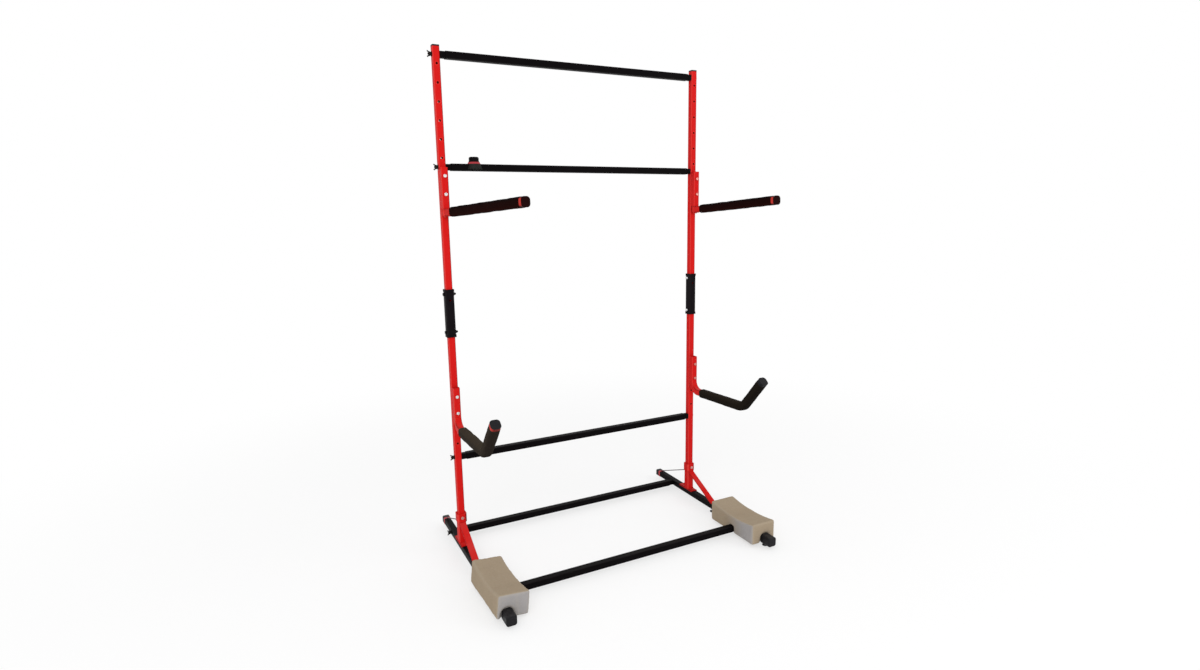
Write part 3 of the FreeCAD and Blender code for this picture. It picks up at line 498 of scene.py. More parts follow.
def plated(name, tone, low_rough, metallic, gloss=0.5):
    """Plated steel: cloudy plating with a faint yellow cast, fine grain and darker grease marks."""
    graph = Graph(name)
    cloud = graph.noise(240.0, 4.0)
    yellowed = [tone[0] * 0.92, tone[1] * 0.84, tone[2] * 0.66]
    base = graph.blend(cloud.rise(0.35, 0.75) * 0.45, tone, yellowed)
    grease = graph.noise(95.0, 3.0).rise(0.60, 0.80)
    base = graph.blend(grease * 0.45, base, toned(tone, 0.28))
    if name == "bright_zinc":
        base = stained(graph, base)
    rough = low_rough + cloud * 0.22 + grease * 0.15
    grain = graph.noise(1500.0, 2.0)
    return graph.surface(base, rough, graph.bump(grain, 0.25, 0.00015), Metallic=metallic,
                         Specular_IOR_Level=gloss)


def stained(graph, base):
    """The bolts of the right arms and of the collars are dull and reddish, and those of the left joint
    sleeve are dark."""
    colours = settings("colours")
    x, _, z = graph.parts(graph.place())
    right = x.rise(0.30, 0.40)
    in_sleeve = z.rise(0.84, 0.86) * (1.0 - z.rise(1.05, 1.07))
    high = z.rise(0.30, 0.35)
    base = graph.blend(right * (1.0 - in_sleeve) * high, base, colours.dull_bolt)
    collar = z.rise(0.08, 0.10) * (1.0 - z.rise(0.20, 0.25))
    base = graph.blend(collar * 0.75, base, colours.dull_bolt)
    return graph.blend((1.0 - right) * in_sleeve, base, colours.black_bolt)


def moulded(name, tone, rough, gloss=0.14, grain_scale=1300.0):
    """Moulded plastic or rubber: fine moulded grain, faint flow marks, grey dust and scuffed patches."""
    graph = Graph(name)
    flow = graph.noise(1.0, 3.0, graph.stretched((60.0, 60.0, 180.0)))
    base = graph.blend(flow.rise(0.4, 0.7) * 0.5, tone, toned(tone, 1.6))
    worn = graph.noise(130.0, 4.0).rise(0.60, 0.78)
    base = graph.blend(worn * 0.25, base, toned(tone, 0.6, 0.03))
    base = dusted(graph, base, 0.04)
    relief = graph.bump(graph.noise(grain_scale, 3.0), 0.35, 0.0003)
    return graph.surface(base, rough + flow * 0.12 + worn * 0.1, relief, Specular_IOR_Level=gloss)


def band(name, tone, gloss, darkened):
    """Moulded red band with a fine grain, darkened where the given function says."""
    graph = Graph(name)
    patchy = graph.noise(160.0, 3.0)
    base = graph.blend(patchy.rise(0.4, 0.7) * 0.4, tone, toned(tone, 0.7))
    base = darkened(graph, base)
    grain = graph.bump(graph.noise(1300.0, 3.0), 0.30, 0.0003)
    return graph.surface(base, 0.45 + patchy * 0.15, grain, Specular_IOR_Level=gloss)


def arm_ring_painted_shade(graph, base):
    """Painted shade on the arms' rings: dark above and below, and the right hooked arm's dark all round."""
    colours = settings("colours")
    x, _, z = graph.parts(graph.place())
    ring_edge_shade = abs(graph.facing()[2]).rise(0.30, 0.85)
    base = graph.blend(ring_edge_shade, base, colours.band_edge_shade)
    right_hook_ring_shade = x.rise(0.30, 0.40) * (1.0 - z.rise(0.85, 0.95))
    return graph.blend(right_hook_ring_shade, base, colours.plastic)


def stop_band_darkened(graph, base):
    """The bar stop's band is black above its middle; the red left below its middle is a painted highlight."""
    low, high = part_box("bar_stop_band")
    middle = (low.z + high.z) / 2
    z = graph.parts(graph.place())[2]
    return graph.blend(z.rise(middle + 0.0005, middle + 0.0020), base, settings("colours").black)


def unevenness(points, seed, size):
    """Smooth noise from about -1 to 1 at each point: the sum of 28 plane waves of random direction and
    phase, whose lengths are near the given size."""
    draw = np.random.default_rng(seed)
    ways = draw.normal(size=(28, 3))
    ways /= np.linalg.norm(ways, axis=1, keepdims=True)
    ways *= draw.uniform(0.6, 1.5, (28, 1)) * 2 * math.pi / size
    waves = np.sin(points @ ways.T + draw.uniform(0, 2 * math.pi, 28))
    return waves.sum(-1) / math.sqrt(28)


def grid_faces(rows, columns, rows_wrap):
    """Four-cornered faces of a grid whose columns wrap round, and whose rows may."""
    starts = np.arange(rows if rows_wrap else rows - 1)
    row, column = np.meshgrid(starts, np.arange(columns), indexing="ij")
    below, right = (row + 1) % rows * columns, (column + 1) % columns
    row = row * columns
    return np.stack([row + column, row + right, below + right, below + column], -1).reshape(-1, 4)


def shell(points, rows_wrap=False):
    """Closed shell over a grid of points. Rings run round it; where its rows don't wrap, a fan of
    triangles to the middle of the first and last ring closes it. Its faces point outwards."""
    rows, columns = points.shape[:2]
    vertices = points.reshape(-1, 3)
    faces = [grid_faces(rows, columns, rows_wrap)]
    if not rows_wrap:
        ring = np.arange(columns)
        onward = (ring + 1) % columns
        last = (rows - 1) * columns
        first_middle, last_middle = len(vertices), len(vertices) + 1
        vertices = np.vstack([vertices, points[0].mean(0), points[-1].mean(0)])
        faces.append(np.stack([onward, ring, np.full(columns, first_middle)], -1))
        faces.append(np.stack([last + ring, last + onward, np.full(columns, last_middle)], -1))
    volume = 0.0
    for group in faces:
        for i in range(1, group.shape[1] - 1):
            a, b, c = (vertices[group[:, k]] for k in (0, i, i + 1))
            volume += (a * np.cross(b, c)).sum()
    if volume < 0:
        faces = [group[:, ::-1] for group in faces]
    return vertices, faces


def add_piece(name, shells, body, nodes, material, sharp=None):
    """Makes one piece of closed shells, gives it its finish, ties it to its body and hides the CAD nodes that
    it stands for.
    """
    vertices, faces, count = [], [], 0
    for points, groups in shells:
        vertices.append(points)
        for group in groups:
            faces += (group + count).tolist()
        count += len(points)
    mesh = bpy.data.meshes.new(name)
    mesh.from_pydata(np.vstack(vertices).tolist(), [], faces)
    return add_mesh(name, mesh, body, nodes, material, sharp)


def add_mesh(name, mesh, body, nodes, material, sharp=None):
    mesh.polygons.foreach_set("use_smooth", [True] * len(mesh.polygons))
    if sharp:
        mesh.set_sharp_from_angle(angle=math.radians(sharp))
    mesh.materials.clear()
    mesh.materials.append(material)
    mesh.update()
    piece = linked(name, mesh)
    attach(piece, body)
    if nodes:
        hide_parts(*nodes)
    return piece


def linked(name, data):
    """New object of the scene."""
    made = bpy.data.objects.new(name, data)
    bpy.context.scene.collection.objects.link(made)
    return made


def unit(vector):
    return vector / np.linalg.norm(vector)


def square_radius(turn, half, corner):
    """Distance from a rounded square's middle to its edge at each angle: half its width over the larger of
    cosine and sine on the flats, and elsewhere where the ray leaves the corner's circle."""
    cosine, sine = np.abs(np.cos(turn)), np.abs(np.sin(turn))
    flat = half / np.maximum(cosine, sine)
    inner = half - corner
    along = inner * (cosine + sine)
    arc = along + np.sqrt(np.maximum(along ** 2 - 2 * inner ** 2 + corner ** 2, 0))
    return np.where(flat * np.minimum(cosine, sine) <= inner, flat, arc)


def bent_route(distance, start, bend, end, radius):
    """Points and directions along two straight runs joined by an arc. The turn made so far is the distance
    past the first run over the radius, kept between nothing and the whole bend; the point is the arc's
    point for that turn plus the rest of the distance straight on."""
    first, second = unit(bend - start), unit(end - bend)
    whole = math.acos(float(first @ second))
    reach = radius * math.tan(whole / 2)
    run = np.linalg.norm(bend - start) - reach
    inward = unit(second - first * (first @ second))
    centre = bend - first * reach + inward * radius
    turn = np.clip((distance - run) / radius, 0, whole)
    direction = np.cos(turn)[:, None] * first + np.sin(turn)[:, None] * inward
    on_arc = centre + radius * (np.sin(turn)[:, None] * first - np.cos(turn)[:, None] * inward)
    points = on_arc + direction * (distance - run - turn * radius)[:, None]
    total = run + whole * radius + np.linalg.norm(end - bend) - reach
    return points, direction, total, run, whole * radius


def sleeve_stations(total, half, foam):
    """Distances along a sleeve, half widths and corners of a loop of rings: along the outside, round the
    rim, down the end, back along the bore and out again at the start."""
    rim, bore = foam.rim, foam.bore_half
    outside = np.linspace(rim, total - rim, int(total / SLEEVE_STEP))
    quarter = np.linspace(0, math.pi / 2, 7)[1:]
    face = np.linspace(half - rim, bore, 5)[1:]
    inside = np.linspace(total, 0, 30)[1:]
    back = face[::-1][1:]
    along = [outside, total - rim + rim * np.sin(quarter), np.full(4, total), inside, np.zeros(3),
             rim - rim * np.sin(quarter[::-1])]
    width = [np.full(len(outside), half), half - rim + rim * np.cos(quarter), face,
             np.full(len(inside), bore), back, half - rim + rim * np.cos(quarter[::-1])]
    return np.concatenate(along), np.concatenate(width)


def foam_sleeve(name, route, side_way, half, seed, body, node, material):
    """Foam sleeve: a rounded square whose half width and place follow a closed loop of stations, carried
    along the route, with slow lumps, a glued slit below, and creases inside the bend."""
    foam = settings("foam")
    total, run, bend = route(np.zeros(1))[2:]
    along, width = sleeve_stations(total, half, foam)
    points, direction = route(along)[:2]
    up_way = np.cross(side_way, direction)
    if up_way[0][2] < 0:
        up_way = -up_way
    slit, slit_width = -math.pi / 2, 0.030
    end_sink, end_reach, bend_margin = 0.0006, 0.006, 0.006
    slit_points = np.array([-0.07, -0.045, -0.025, 0.004, 0.025, 0.045, 0.07])
    turn = np.linspace(0, 2 * math.pi, SLEEVE_POINTS, endpoint=False) - math.pi
    turn = np.concatenate([turn, slit + slit_points])
    turn.sort()
    share_out = (width - foam.bore_half) / (half - foam.bore_half)
    corner = foam.bore_corner + (foam.corner - foam.bore_corner) * share_out
    reach = square_radius(turn[None, :], width[:, None], corner[:, None])
    outward = (np.cos(turn)[None, :, None] * side_way + np.sin(turn)[None, :, None] * up_way[:, None, :])
    grid = points[:, None, :] + reach[..., None] * outward
    outer = (share_out > 0.98).astype(float)[:, None]
    relief = foam.lump * unevenness(grid, seed, 0.060)
    relief += foam.lump * 0.45 * unevenness(grid, seed + 1, 0.017)
    relief -= foam.seam * np.exp(-((turn - slit) / slit_width) ** 2)[None, :]
    ends = np.minimum(along, total - along)[:, None]
    relief -= end_sink * np.exp(-ends / end_reach)
    if bend:
        into = np.clip((along - run + bend_margin) / (bend + 2 * bend_margin), 0, 1)[:, None]
        window = np.sin(math.pi * into) ** 2
        crease = 0.5 - 0.5 * np.cos(2 * math.pi * foam.wrinkle_count * into)
        crease = crease ** 2 * (0.75 + 0.35 * unevenness(grid, seed + 2, 0.025))
        relief -= foam.wrinkle * window * crease * np.clip(np.sin(turn)[None, :], 0, 1) ** 2
    grid += (np.minimum(relief, foam.lump) * outer)[..., None] * outward
    piece = add_piece(name, [shell(grid, rows_wrap=True)], body, [node], material)
    return piece


def upper_arm_axis(side):
    """Swivel point of an upper arm, the way it points and the level way across it."""
    sizes, foam = settings("sizes"), settings("foam")
    swing = {"left": foam.left_swing, "right": foam.right_swing}[side]
    inward = -SIDES[side]
    pivot = np.array([SIDES[side] * sizes.side_x, sizes.upright_y - sizes.arm_drop, foam.upper_axis])
    level = math.cos(foam.upper_tilt)
    direction = np.array([inward * math.sin(swing) * level, -math.cos(swing) * level,
                          math.sin(foam.upper_tilt)])
    return pivot, direction, np.array([math.cos(swing), inward * math.sin(swing), 0.0])


def circle(start, axis, along, radius):
    """Rings round an axis: each ring's centre is start plus its distance along the axis, and radius gives
    the distance out at each angle."""
    helper = Z if abs(axis[2]) < 0.9 else X
    side = unit(np.cross(axis, helper))
    other = np.cross(axis, side)
    turn = ring_angles()
    out = np.cos(turn)[:, None] * side + np.sin(turn)[:, None] * other
    return start + along[:, None, None] * axis + radius[..., None] * out[None]


def ring_angles():
    return np.linspace(0, 2 * math.pi, ROUND_POINTS, endpoint=False)


def hexagon_radius(turn, across):
    """Distance to a hexagon's edge at each angle: half its width over the cosine of the angle from the
    middle of the nearest flat."""
    third = math.pi / 3
    return across / 2 / np.cos((turn + third / 2) % third - third / 2)


def round_ring(along, radius):
    return along, np.broadcast_to(np.asarray(radius, float)[:, None], (len(radius), ROUND_POINTS))


def head_rings(sizes):
    """Hexagonal head from its seat outwards: a thin washer face, six flats, and a cone that chamfers the
    corners; each ring's radius is the smaller of the hexagon's and the cone's. The top is dished a little."""
    half, height = sizes.across / 2, sizes.head_height
    along = np.array([0.0, 0.04, 0.06, 0.25, 0.5, 0.68, 0.76, 0.84, 0.92, 1.0]) * height
    cone = np.array([0.93, 0.93, 9, 9, 9, 9, 9, 9, 9, 9]) * half
    cone[5:] = half * 0.93 + (height - along[5:]) * 1.75
    radius = np.minimum(hexagon_radius(ring_angles(), sizes.across)[None], cone[:, None])
    dish_along, dish = round_ring(np.array([1.0, 0.97, 0.96]) * height, half * np.array([0.80, 0.70, 0.1]))
    return np.concatenate([along, dish_along]), np.vstack([radius, dish])


def thread_rings(start, end, sizes):
    """Screw thread: the radius falls by a rounded V that climbs one pitch in each turn, and fades out at
    the far end, which is chamfered."""
    along = np.linspace(start, end, max(int(abs(end - start) / sizes.pitch * 9), 8))
    climb = along[:, None] / sizes.pitch * 2 * math.pi - ring_angles()[None]
    depth = sizes.thread_depth * (0.5 + 0.5 * np.cos(climb)) ** 1.5
    chamfer_length, chamfer_depth = 0.0008, 0.0007
    taper = np.clip(np.abs(end - along) / chamfer_length, 0, 1)[:, None]
    return along, (sizes.bolt_radius - depth) - (1 - taper) * chamfer_depth


def rod(start, thread_start, end, sizes):
    """Shank of a bolt or stud, threaded from thread_start to its end."""
    along, shank = round_ring(np.array([start, thread_start]), np.full(2, sizes.bolt_radius * 0.985))
    thread_along, thread = thread_rings(thread_start, end, sizes)
    return np.concatenate([along, thread_along]), np.vstack([shank, thread])


def bolt(face, axis, reach, threaded, sizes):
    """Bolt whose head stands against the face and whose shank runs along the axis, threaded at its end."""
    head_along, head = head_rings(sizes)
    along, radius = rod(0.0, reach - threaded, reach, sizes)
    along = np.concatenate([-head_along[::-1], along])
    return shell(circle(face, axis, along, np.vstack([head[::-1], radius])))


def lock_nut(face, axis, sizes):
    """Lock nut: a hexagon with a round collar for its insert. Its rings wrap through the bore."""
    half = sizes.across / 2
    share_along = np.array([0, 0.06, 0.1, 0.3, 0.55, 0.62, 0.68, 0.70, 0.90, 0.97, 1.0, 1.0])
    cone = np.array([0.93, 1.0, 9, 9, 9, 1.08, 0.98, 0.88, 0.88, 0.84, 0.76, 0.64]) * half
    outer = np.minimum(hexagon_radius(ring_angles(), sizes.across)[None], cone[:, None])
    inner_along, inner = round_ring(np.array([0.9, 0.5, 0.0]) * sizes.nut_height,
                                    np.full(3, sizes.bolt_radius + 2e-5))
    along = np.concatenate([share_along * sizes.nut_height, inner_along])
    return shell(circle(face, axis, along, np.vstack([outer, inner])), rows_wrap=True)


def stand_point(side, out, y, z):
    """Point beside an upright: out counts away from its middle towards the stand's outside, y from the
    uprights' plane."""
    sizes = settings("sizes")
    return np.array([SIDES[side] * (sizes.side_x + out), sizes.upright_y + y, z])


def arm_bolt_heights():
    sizes = settings("sizes")
    return [sizes.upper_hole + sizes.hole_pitch * i for i in (0, 1)] + [
        sizes.lower_hole + sizes.hole_pitch * i for i in (2, 3)]


def bar_places():
    """Depth and height of each crossbar's middle, read from the frame."""
    places = {}
    for name in ("top_bar", "second_bar", "lower_bar", "rear_base_bar", "front_base_bar"):
        low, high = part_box(name)
        places[name] = ((low.y + high.y) / 2 - settings("sizes").upright_y, (low.z + high.z) / 2)
    return places


def turned(profile, start, axis, bored=False):
    """Round piece: each pair of the profile is a distance along the axis and a radius. The rings of a
    bored one wrap through its bore."""
    along, radius = np.array(profile, float).T
    return shell(circle(start, axis, *round_ring(along, radius)), rows_wrap=bored)


def blade(root, way, across, thick_way, length_out, bulge):
    """Wing of a wing nut: flattened rings along a line that bows outwards; their width narrows, widens into
    the ear and closes in a half circle, and their thickness falls towards the ear."""
    ear = 0.8 + 0.2 * np.sin(np.linspace(0.15, math.pi / 2 - 0.06, 9))
    t = np.concatenate([np.linspace(0, 0.8, 14), ear])
    width = 0.0021 + 0.0009 * t + 0.0006 * np.cos(t * 5.0)
    width *= np.sqrt(np.clip(1 - (np.clip(t - 0.8, 0, 1) / 0.2) ** 2, 0, 1))
    thick = (0.0017 - 0.0006 * t) * np.clip(width / 0.0022, 0, 1) ** 0.6
    turn = np.linspace(0, 2 * math.pi, WING_POINTS, endpoint=False)
    middle = root + way * (t * length_out)[:, None] + across * (bulge * np.sin(math.pi * t))[:, None]
    flat = np.sign(np.cos(turn)) * np.abs(np.cos(turn)) ** 0.8
    deep = np.sign(np.sin(turn)) * np.abs(np.sin(turn)) ** 0.8
    ring = (width[:, None] * flat)[..., None] * across + (thick[:, None] * deep)[..., None] * thick_way
    return shell(middle[:, None, :] + ring)


def rounded_loop(half_a, half_b, corner, count):
    """Evenly spaced points of a rounded rectangle, as two numbers each: four quarter circles joined by
    straight sides, then resampled by length."""
    quarter = np.linspace(0, math.pi / 2, 9)
    pieces = []
    for i, (sign_a, sign_b) in enumerate(((1, 1), (-1, 1), (-1, -1), (1, -1))):
        turn = quarter + i * math.pi / 2
        pieces.append(np.stack([sign_a * (half_a - corner) + corner * np.cos(turn),
                                sign_b * (half_b - corner) + corner * np.sin(turn)], -1))
    loop = np.vstack(pieces + [pieces[0][:1]])
    gone = np.concatenate([[0], np.cumsum(np.linalg.norm(np.diff(loop, axis=0), axis=1))])
    want = np.linspace(0, gone[-1], count, endpoint=False)
    return np.stack([np.interp(want, gone, loop[:, k]) for k in (0, 1)], -1), gone[-1]


def weld(centre, way_a, way_b, half_a, half_b, corner, radius, seed):
    """Weld bead: a circle carried round a rounded rectangle, its radius rippled along the way."""
    count = int((half_a + half_b) * 4 / BEAD_STEP)
    loop, total = rounded_loop(half_a, half_b, corner, count)
    middle = centre + loop[:, :1] * way_a + loop[:, 1:] * way_b
    ahead = np.roll(middle, -1, axis=0) - np.roll(middle, 1, axis=0)
    ahead /= np.linalg.norm(ahead, axis=1, keepdims=True)
    normal = np.cross(way_a, way_b)
    across = np.cross(ahead, normal)
    gone = np.linspace(0, total, count, endpoint=False)
    ripples = max(round(total / settings("fasteners").bead_ripple), 1)
    swell = 1 + 0.13 * np.cos(2 * math.pi * ripples * gone / total) + 0.10 * unevenness(middle, seed, 0.012)
    turn = np.linspace(0, 2 * math.pi, BEAD_POINTS, endpoint=False)
    out = np.cos(turn)[None, :, None] * across[:, None, :] + np.sin(turn)[None, :, None] * normal
    return shell(middle[:, None, :] + (radius * swell)[:, None, None] * out, rows_wrap=True)


class KAYAK_OT_stage(bpy.types.Operator):
    """Adds the camera, the lamps, the pale floor and the white surroundings"""

    bl_idname = "kayak_stand.stage"
    bl_label = "Stage"

    def execute(self, context):
        stage = settings("stage")
        self.camera(stage)
        self.lamp("key_lamp", stage.key_place, stage.key_size, stage.key, stage.aim)
        self.lamp("fill_lamp", stage.fill_place, stage.fill_size, stage.fill, stage.aim)
        self.floor(stage)
        self.surroundings(stage)
        bpy.context.scene.view_settings.view_transform = "Standard"
        return {"FINISHED"}

    def camera(self, stage):
        data = bpy.data.cameras.new("camera")
        data.sensor_width = 36.0
        data.lens = stage.lens
        ahead = np.array([math.sin(stage.yaw), math.cos(stage.yaw), 0.0])
        forward = ahead * math.cos(stage.pitch) - Z * math.sin(stage.pitch)
        level = np.array([math.cos(stage.yaw), -math.sin(stage.yaw), 0.0])
        down = np.cross(forward, level)
        right = math.cos(stage.roll) * level + math.sin(stage.roll) * down
        down = math.cos(stage.roll) * down - math.sin(stage.roll) * level
        bpy.context.scene.camera = self.stood("camera", data, [right, -down, -forward], stage.camera_place)

    def stood(self, name, data, ways, place):
        """Camera or lamp at a place, its own three axes along the given ways."""
        turn = Matrix(np.stack(ways, 1).tolist()).to_4x4()
        turn.translation = place
        made = linked(name, data)
        made.matrix_world = turn
        return made

    def lamp(self, name, place, size, power, aim):
        data = bpy.data.lights.new(name, "AREA")
        data.size = size
        data.energy = power
        back = unit(np.array(place) - aim * Z)
        side = unit(np.cross(Z, back))
        self.stood(name, data, [side, np.cross(back, side), back], place)

    def white_rays(self, graph):
        """1 for rays from the camera, a reflection or a clear piece, which see plain white."""
        rays = graph.node("ShaderNodeLightPath").socket.node.outputs
        found = [Value(graph, rays["Is " + kind + " Ray"]) for kind in ("Camera", "Glossy", "Transmission")]
        return found[0].highest(found[1]).highest(found[2])

    def floor(self, stage):
        graph = Graph("pale_floor")
        plain = graph.noise(6.0, 2.0)
        base = graph.blend(plain * 0.2, (0.93, 0.93, 0.93), (0.90, 0.90, 0.90))
        matt = graph.node("ShaderNodeBsdfDiffuse", inputs={"Color": base})
        white = graph.node("ShaderNodeEmission", inputs={"Color": (1.0, 1.0, 1.0, 1.0), "Strength": 1.0})
        x, y, _ = graph.parts(graph.place())
        away = (x * x + y * y).root().rise(stage.floor_near, stage.floor_far)
        mask = self.white_rays(graph) * (away * (1.0 - stage.floor_lift) + stage.floor_lift)
        mixed = graph.node("ShaderNodeMixShader", inputs={0: mask, 1: matt, 2: white})
        mesh = bpy.data.meshes.new("pale_floor")
        corners = np.array([(-1, -1, 0), (1, -1, 0), (1, 1, 0), (-1, 1, 0)]) * FLOOR_REACH
        mesh.from_pydata(corners.tolist(), [], [(0, 1, 2, 3)])
        mesh.materials.append(graph.finish(mixed))
        linked("pale_floor", mesh)

    def surroundings(self, stage):
        graph = Graph("white_surroundings", "worlds")
        soft, white = (
            graph.node("ShaderNodeBackground", inputs={"Color": (1.0, 1.0, 1.0, 1.0), "Strength": level})
            for level in (stage.ambient, 1.0))
        mixed = graph.node("ShaderNodeMixShader", inputs={0: self.white_rays(graph), 1: soft, 2: white})
        graph.node("ShaderNodeOutputWorld", inputs={"Surface": mixed})
        bpy.context.scene.world = graph.owner


class KAYAK_OT_finishes(bpy.types.Operator):
    """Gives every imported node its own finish"""

    bl_idname = "kayak_stand.finishes"
    bl_label = "Finishes"

    def execute(self, context):
        colours = settings("colours")
        finishes = {
            "red_frame": red_coat("red_powder_coat", 1.0),
            "black_bar": black_coat("black_bar_coat", colours.black, 2, (18.0, 700.0, 700.0)),
            "black_sleeve": black_coat("joint_sleeve_coat", colours.sleeve_black, 0, (700.0, 700.0, 30.0)),
            "black_foam": sleeve_foam("hooked_foam_left", colours.hook_under, colours.hook_top_dust_and_light),
            "tan_foam": block_foam("left"),
            "steel_fastener": plated("bright_zinc", colours.zinc, 0.22, 0.9),
            "zinc_wing": plated("cast_zinc", colours.dull_zinc, 0.50, 0.05, 0.05),
            "black_plastic": moulded("black_plastic", colours.plastic, 0.42),
            "foot_rubber": moulded("foot_rubber", colours.rubber, 0.68, grain_scale=900.0),
            "red_band": moulded("red_band", colours.leg_band, 0.38),
            "grey_skirt": moulded("grey_skirt", colours.skirt, 0.50, 0.08, 1000.0),
        }
        arm_band = band("arm_band", colours.band, 0.08, arm_ring_painted_shade)
        arm_cap = moulded("arm_cap", colours.arm_cap, 0.60, 0.03)
        own = {
            "stay_rods": plated("stay_steel", colours.stay, 0.45, 0.2),
            "upper_arm_ring_left": arm_band,
            "upper_arm_ring_right": arm_band,
            "hook_arm_rings": arm_band,
            "upper_arm_cap_left": arm_cap,
            "upper_arm_cap_right": arm_cap,
            "bar_end_plugs": moulded("bar_plug", colours.black, 0.55, 0.03),
            "stud_washers": finishes["zinc_wing"],
            "bar_stop_cap": moulded("stop_cap", colours.black, 0.50, 0.04),
            "bar_stop_band": band("stop_band", colours.leg_band, 0.06, stop_band_darkened),
            # The right saddle gets the red coat darkened to 0.70: painted shade.
            "base_saddle_right": red_coat("red_base_coat_painted_shade", 0.70),
            "swivel_pins": finishes["red_frame"],
        }
        sleeve_foam("upper_foam", colours.upper_under_red_reflection, colours.upper_top)
        # The right hooked sleeve gets a darker copy of the hooked foam: painted shade.
        sleeve_foam("hooked_foam_right", toned(colours.hook_under, 0.45), toned(colours.hook_top_dust_and_light, 0.40))
        block_foam("right")
        slots = {part["node"]: part["material_slot"] for part in frame["record"]["subparts"]}
        for name, node in frame["nodes"].items():
            node.data.materials.clear()
            node.data.materials.append(own.get(name) or finishes[slots[name]])
        return {"FINISHED"}


def finish_of(name):
    return bpy.data.materials[name]


class KAYAK_OT_upper_sleeves(bpy.types.Operator):
    """Adds the foam sleeves of the straight upper arms"""

    bl_idname = "kayak_stand.upper_sleeves"
    bl_label = "Upper foam sleeves"

    def execute(self, context):
        foam = settings("foam")
        for seed, side in enumerate(SIDES):
            pivot, direction, side_way = upper_arm_axis(side)
            start = pivot + direction * foam.upper_start
            total = foam.upper_end - foam.upper_start

            def route(along):
                ways = np.broadcast_to(direction, (len(along), 3))
                return start + along[:, None] * direction, ways, total, 0.0, 0.0

            foam_sleeve("foam_sleeve_upper_" + side, route, side_way, foam.upper_half, 11 + 10 * seed,
                        "upper_arm_" + side, "upper_arm_pad_" + side, finish_of("upper_foam"))
        return {"FINISHED"}


class KAYAK_OT_hooked_sleeves(bpy.types.Operator):
    """Adds the bent foam sleeves of the hooked lower arms"""

    bl_idname = "kayak_stand.hooked_sleeves"
    bl_label = "Hooked foam sleeves"

    def execute(self, context):
        foam, sizes = settings("foam"), settings("sizes")
        for seed, side in enumerate(SIDES):
            rise = math.tan(foam.hook_tilt)
            start = stand_point(side, 0.0, -foam.hook_start,
                                foam.hook_height + (foam.hook_start - sizes.arm_drop) * rise)
            bend = stand_point(side, 0.0, -foam.hook_reach,
                               foam.hook_height + (foam.hook_reach - sizes.arm_drop) * rise)
            end = bend + foam.tip_length * (Z * math.sin(foam.tip_angle) - Y * math.cos(foam.tip_angle))

            def route(along):
                return bent_route(along, start, bend, end, foam.bend_radius)

            foam_sleeve("foam_sleeve_hooked_" + side, route, X, foam.hook_half, 51 + 10 * seed, "frame",
                        "hook_arm_pad_" + side, finish_of("hooked_foam_" + side))
        return {"FINISHED"}


class KAYAK_OT_foam_blocks(bpy.types.Operator):
    """Adds the hollow-topped foam blocks over the legs"""

    bl_idname = "kayak_stand.foam_blocks"
    bl_label = "Foam blocks"

    def execute(self, context):
        foam = settings("foam")
        for seed, side in enumerate(SIDES):
            node = "foam_block_" + side
            mesh = self.remeshed(frame["nodes"][node].data, foam.voxel)
            before = coordinates(mesh)
            soft = bmesh.new()
            soft.from_mesh(mesh)
            for _ in range(SMOOTHING_PASSES):
                bmesh.ops.smooth_vert(soft, verts=soft.verts, factor=0.5, use_axis_x=True,
                                      use_axis_y=True, use_axis_z=True)
            soft.to_mesh(mesh)
            soft.free()
            points = coordinates(mesh)
            moved = np.linalg.norm(points - before, axis=1)
            normals = np.zeros(len(points) * 3)
            mesh.vertices.foreach_get("normal", normals)
            slow = unevenness(points, 81 + seed, 0.090)
            quick = unevenness(points, 91 + seed, 0.016)
            dent = foam.block_dent * (0.45 + 0.30 * slow + 0.13 * quick)
            points -= np.clip(dent, 0, None)[:, None] * normals.reshape(-1, 3)
            mesh.vertices.foreach_set("co", points.ravel())
            edge = mesh.attributes.new("edge", "FLOAT", "POINT")
            edge.data.foreach_set("value", np.clip(moved / EDGE_MOVE, 0, 1))
            piece = add_mesh("foam_block_cut_" + side, mesh, "frame", [node],
                             finish_of("block_foam_" + side))
        return {"FINISHED"}

    def remeshed(self, source, voxel):
        """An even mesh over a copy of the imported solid."""
        joined = bmesh.new()
        joined.from_mesh(source)
        bmesh.ops.remove_doubles(joined, verts=joined.verts, dist=1e-5)
        copy = bpy.data.meshes.new("block_copy")
        joined.to_mesh(copy)
        joined.free()
        helper = linked("block_copy", copy)
        even = helper.modifiers.new("even", "REMESH")
        even.mode = "VOXEL"
        even.voxel_size = voxel
        shown = helper.evaluated_get(bpy.context.evaluated_depsgraph_get())
        mesh = bpy.data.meshes.new_from_object(shown)
        bpy.data.objects.remove(helper)
        return mesh


def coordinates(mesh):
    points = np.zeros(len(mesh.vertices) * 3)
    mesh.vertices.foreach_get("co", points)
    return points.reshape(-1, 3)


